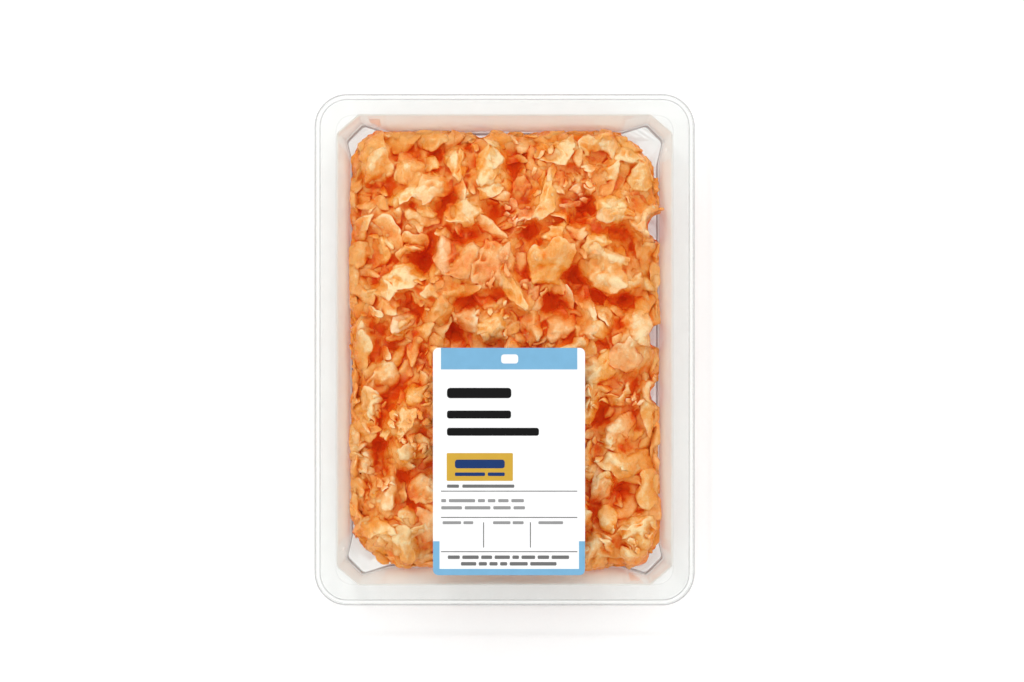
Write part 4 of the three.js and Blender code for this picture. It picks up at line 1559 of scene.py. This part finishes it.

# %% [markdown]
# Light that enters fish comes out again a little further on, and red light travels furthest. So
# thin rims and crests are pale, thick flakes are orange, and deep gaps are a saturated red.
# Subsurface scattering gives a part of that glow. The gaps are too deep for it alone, so the rest
# is painted into the colour: each point learns how far it stands above the heap around it, how
# much of the sky it sees and how far it lies inside the heap's outline, and from these gets painted
# light on open crests and near the walls and painted shade in the gaps.

# %% How far each point stands out
EDGE_BAND = 6
# EDGE_LIFT is painted light: near the heap's sides the flesh turns paler, as if lit through the
# clear walls
EDGE_LIFT = 1.6
soft_ground = softened(ground, 1)
around_height = softened(ground, 40)


def inwardness(points):
    """Zero at the heap's outline, one from the edge band inwards."""
    return np.clip(inside_heap(points[:, 0], points[:, 1]) / EDGE_BAND, 0, 1)


def standing_out(points):
    """Height of points above the smoothed heap around them, less of it near the heap's sides:
    painted light on crests, painted shade in gaps.
    """
    above = points[:, 2] - read_heights(around_height, points[:, 0], points[:, 1])
    inward = inwardness(points)
    return np.clip(above * inward + EDGE_LIFT * (1 - inward), -8, 6)


def daylight(points):
    """Share of the sky that each point sees over the heap around it."""
    seen = np.zeros(len(points))
    for way in np.arange(8) * np.pi / 4:
        steepest = np.zeros(len(points))
        for far in (1.5, 3, 5, 8):
            x = points[:, 0] + far * math.cos(way)
            y = points[:, 1] + far * math.sin(way)
            steepest = np.maximum(steepest, (read_heights(soft_ground, x, y) - points[:, 2]) / far)
        seen += 1 / (1 + steepest**2)
    return seen / 8


print("share of the sky that the core sees:", daylight(core_points).mean().round(2))

# %% [markdown]
# Two ramps hold the colours of the flesh, from the painted shade of the deepest gap to the palest
# crest. One is for the orange flakes, the other for the pinker ones. Their first colours are almost
# pure orange red: they paint the shade of a gap between moist flakes, from which only that light
# comes back out.

# %% Colours of the flesh
ORANGE_FLESH = [
    (0.0, (0.78, 0.070, 0.001)),
    (0.22, (0.82, 0.165, 0.003)),
    (0.48, (0.86, 0.300, 0.030)),
    (0.75, (0.90, 0.430, 0.105)),
    (1.0, (0.93, 0.690, 0.355)),
]
PINK_FLESH = [
    (0.0, (0.76, 0.070, 0.006)),
    (0.22, (0.82, 0.175, 0.026)),
    (0.48, (0.87, 0.325, 0.100)),
    (0.75, (0.90, 0.470, 0.205)),
    (1.0, (0.93, 0.690, 0.430)),
]
print("colour stops:", len(ORANGE_FLESH) + len(PINK_FLESH))

# %% [markdown]
# Where on its ramp a point lies is a sum of small shares. A pale flake adds its own tone. An open
# sky, a high crest, the high side of a flake and a thin rim add painted light, and a slope, a
# crease, the low side of a flake or a neighbour close above add painted shade. Clouds of noise make
# the tone uneven, and fine stretched noise adds small pale specks as painted highlights of wet
# glints.

# %% How pale each point is
# pale is the flake's own tone; daylight, height, relief and rise paint light and shade
PALE_SHARES = {
    "pale": (0.0, 1.0, 0.0, 0.34),
    "daylight": (0.35, 0.98, 0.0, 0.24),
    "height": (-4.0, 3.0, -0.30, 0.34),
    "relief": (-0.7, 0.7, -0.12, 0.12),
    "rise": (0.0, 1.0, -0.14, 0.10),
}
RIM_SHARE = 0.2
OPENNESS_RAYS = 4
OPENNESS_REACH = 6.0


def openness(recipe, reach_mm):
    """One where the surface is open, less where something stands close over it; read as painted
    shade.
    """
    node = recipe.add("ShaderNodeAmbientOcclusion", samples=OPENNESS_RAYS)
    node.inputs["Distance"].default_value = reach_mm * MM
    return node.outputs["AO"]


def upward(recipe):
    """One where the surface faces up, zero where it is upright."""
    split = recipe.add("ShaderNodeSeparateXYZ")
    recipe.join(recipe.add("ShaderNodeNewGeometry").outputs["Normal"], split.inputs[0])
    return split.outputs["Z"]


def paleness(recipe, fibres):
    """Adds up a point's own tone with painted light and shade into how pale or deep it is, from 0 to
    1.
    """
    shares = [span(recipe, painted(recipe, name), *ends) for name, ends in PALE_SHARES.items()]
    # Painted light on the thin rim of each flake's high side
    thin_rim = calculate(recipe, "MULTIPLY", painted(recipe, "rim"), painted(recipe, "rise"))
    shares.append(calculate(recipe, "MULTIPLY", thin_rim, RIM_SHARE))
    # Painted shade on steep sides, a little painted light on tops
    shares.append(span(recipe, upward(recipe), 0.1, 0.95, -0.10, 0.04))
    cloud = noise(recipe, 420, detail=5, roughness=0.65)
    shares.append(span(recipe, cloud, 0.25, 0.75, -0.12, 0.12))
    # Painted highlights: pale specks where the fine fibre noise peaks, standing for wet glints
    shares.append(span(recipe, fibres, 0.56, 0.70, 0.0, 0.2))
    # Painted shade where a neighbour stands close over the flesh, fading out at the heap's sides
    painted_neighbour_shade = span(recipe, openness(recipe, OPENNESS_REACH), 0.25, 0.85, -0.44, 0.06)
    total = calculate(recipe, "MULTIPLY", painted_neighbour_shade, painted(recipe, "inward"))
    for share in shares:
        total = calculate(recipe, "ADD", total, share)
    return span(recipe, total, 0.0, 1.0)


print("painted numbers that make flesh pale:", len(PALE_SHARES))

# %% [markdown]
# The rest of the flesh is moisture. Its surface has a coarse and a fine bump, it is smoother on
# some spots than on others, and it shines where it lies open and hardly at all in the gaps.

# %% The flesh of the fish
def salmon_material():
    recipe = Recipe("smoked salmon", Roughness=0.36, IOR=1.38)
    surface = recipe.surface.inputs
    recipe.surface.subsurface_method = "BURLEY"
    surface["Subsurface Weight"].default_value = 0.45
    surface["Subsurface Radius"].default_value = (1.0, 0.50, 0.25)
    surface["Subsurface Scale"].default_value = 2.4 * MM
    fibres = noise(recipe, 900, detail=4, roughness=0.6, stretch=(1.0, 0.45, 1.0))
    value = paleness(recipe, fibres)
    orange = ramp(recipe, value, ORANGE_FLESH)
    rose = ramp(recipe, value, PINK_FLESH)
    flesh = blend(recipe, painted(recipe, "pink"), orange, rose)
    recipe.join(flesh, surface["Base Color"])
    coarse = noise(recipe, 420, detail=3)
    grain = bump(recipe, fibres, 0.24, before=bump(recipe, coarse, 0.3))
    recipe.join(grain, surface["Normal"])
    recipe.join(span(recipe, coarse, 0.3, 0.7, 0.15, 0.38), surface["Roughness"])
    shine = span(recipe, painted(recipe, "daylight"), 0.5, 0.95, 0.05, 0.8)
    recipe.join(shine, surface["Specular IOR Level"])
    return recipe.material


salmon = salmon_material()
print("nodes in the flesh:", len(salmon.node_tree.nodes))

# %% [markdown]
# At last the gathered points become meshes, one for the core and one for each kind of flake. The
# core stands for the plain heap of the construction model, and the flakes ride along with it.

# %% Make the fish
def make_fish(name, points, faces, pale, pink, rim, rise, relief, replaces=None):
    piece = make_piece(name, points, faces, [salmon], replaces)
    paint(piece, "pale", pale)
    paint(piece, "pink", pink)
    paint(piece, "rim", rim)
    paint(piece, "rise", rise)
    paint(piece, "relief", relief)
    paint(piece, "height", standing_out(points))
    paint(piece, "inward", inwardness(points))
    paint(piece, "daylight", daylight(points))


none = np.zeros(len(core_points))
make_fish(
    "salmon_core", core_points, core_faces, pale=none + 0.7, pink=none + 0.3, rim=none,
    rise=none + 0.7, relief=core_relief, replaces="salmon_heap",
)
for group in sorted(gathered):
    joined = join_group(group)
    make_fish("salmon_" + group, **joined)
    print(group, len(gathered[group]), "pieces,", len(joined["points"]), "points")

# %% [markdown]
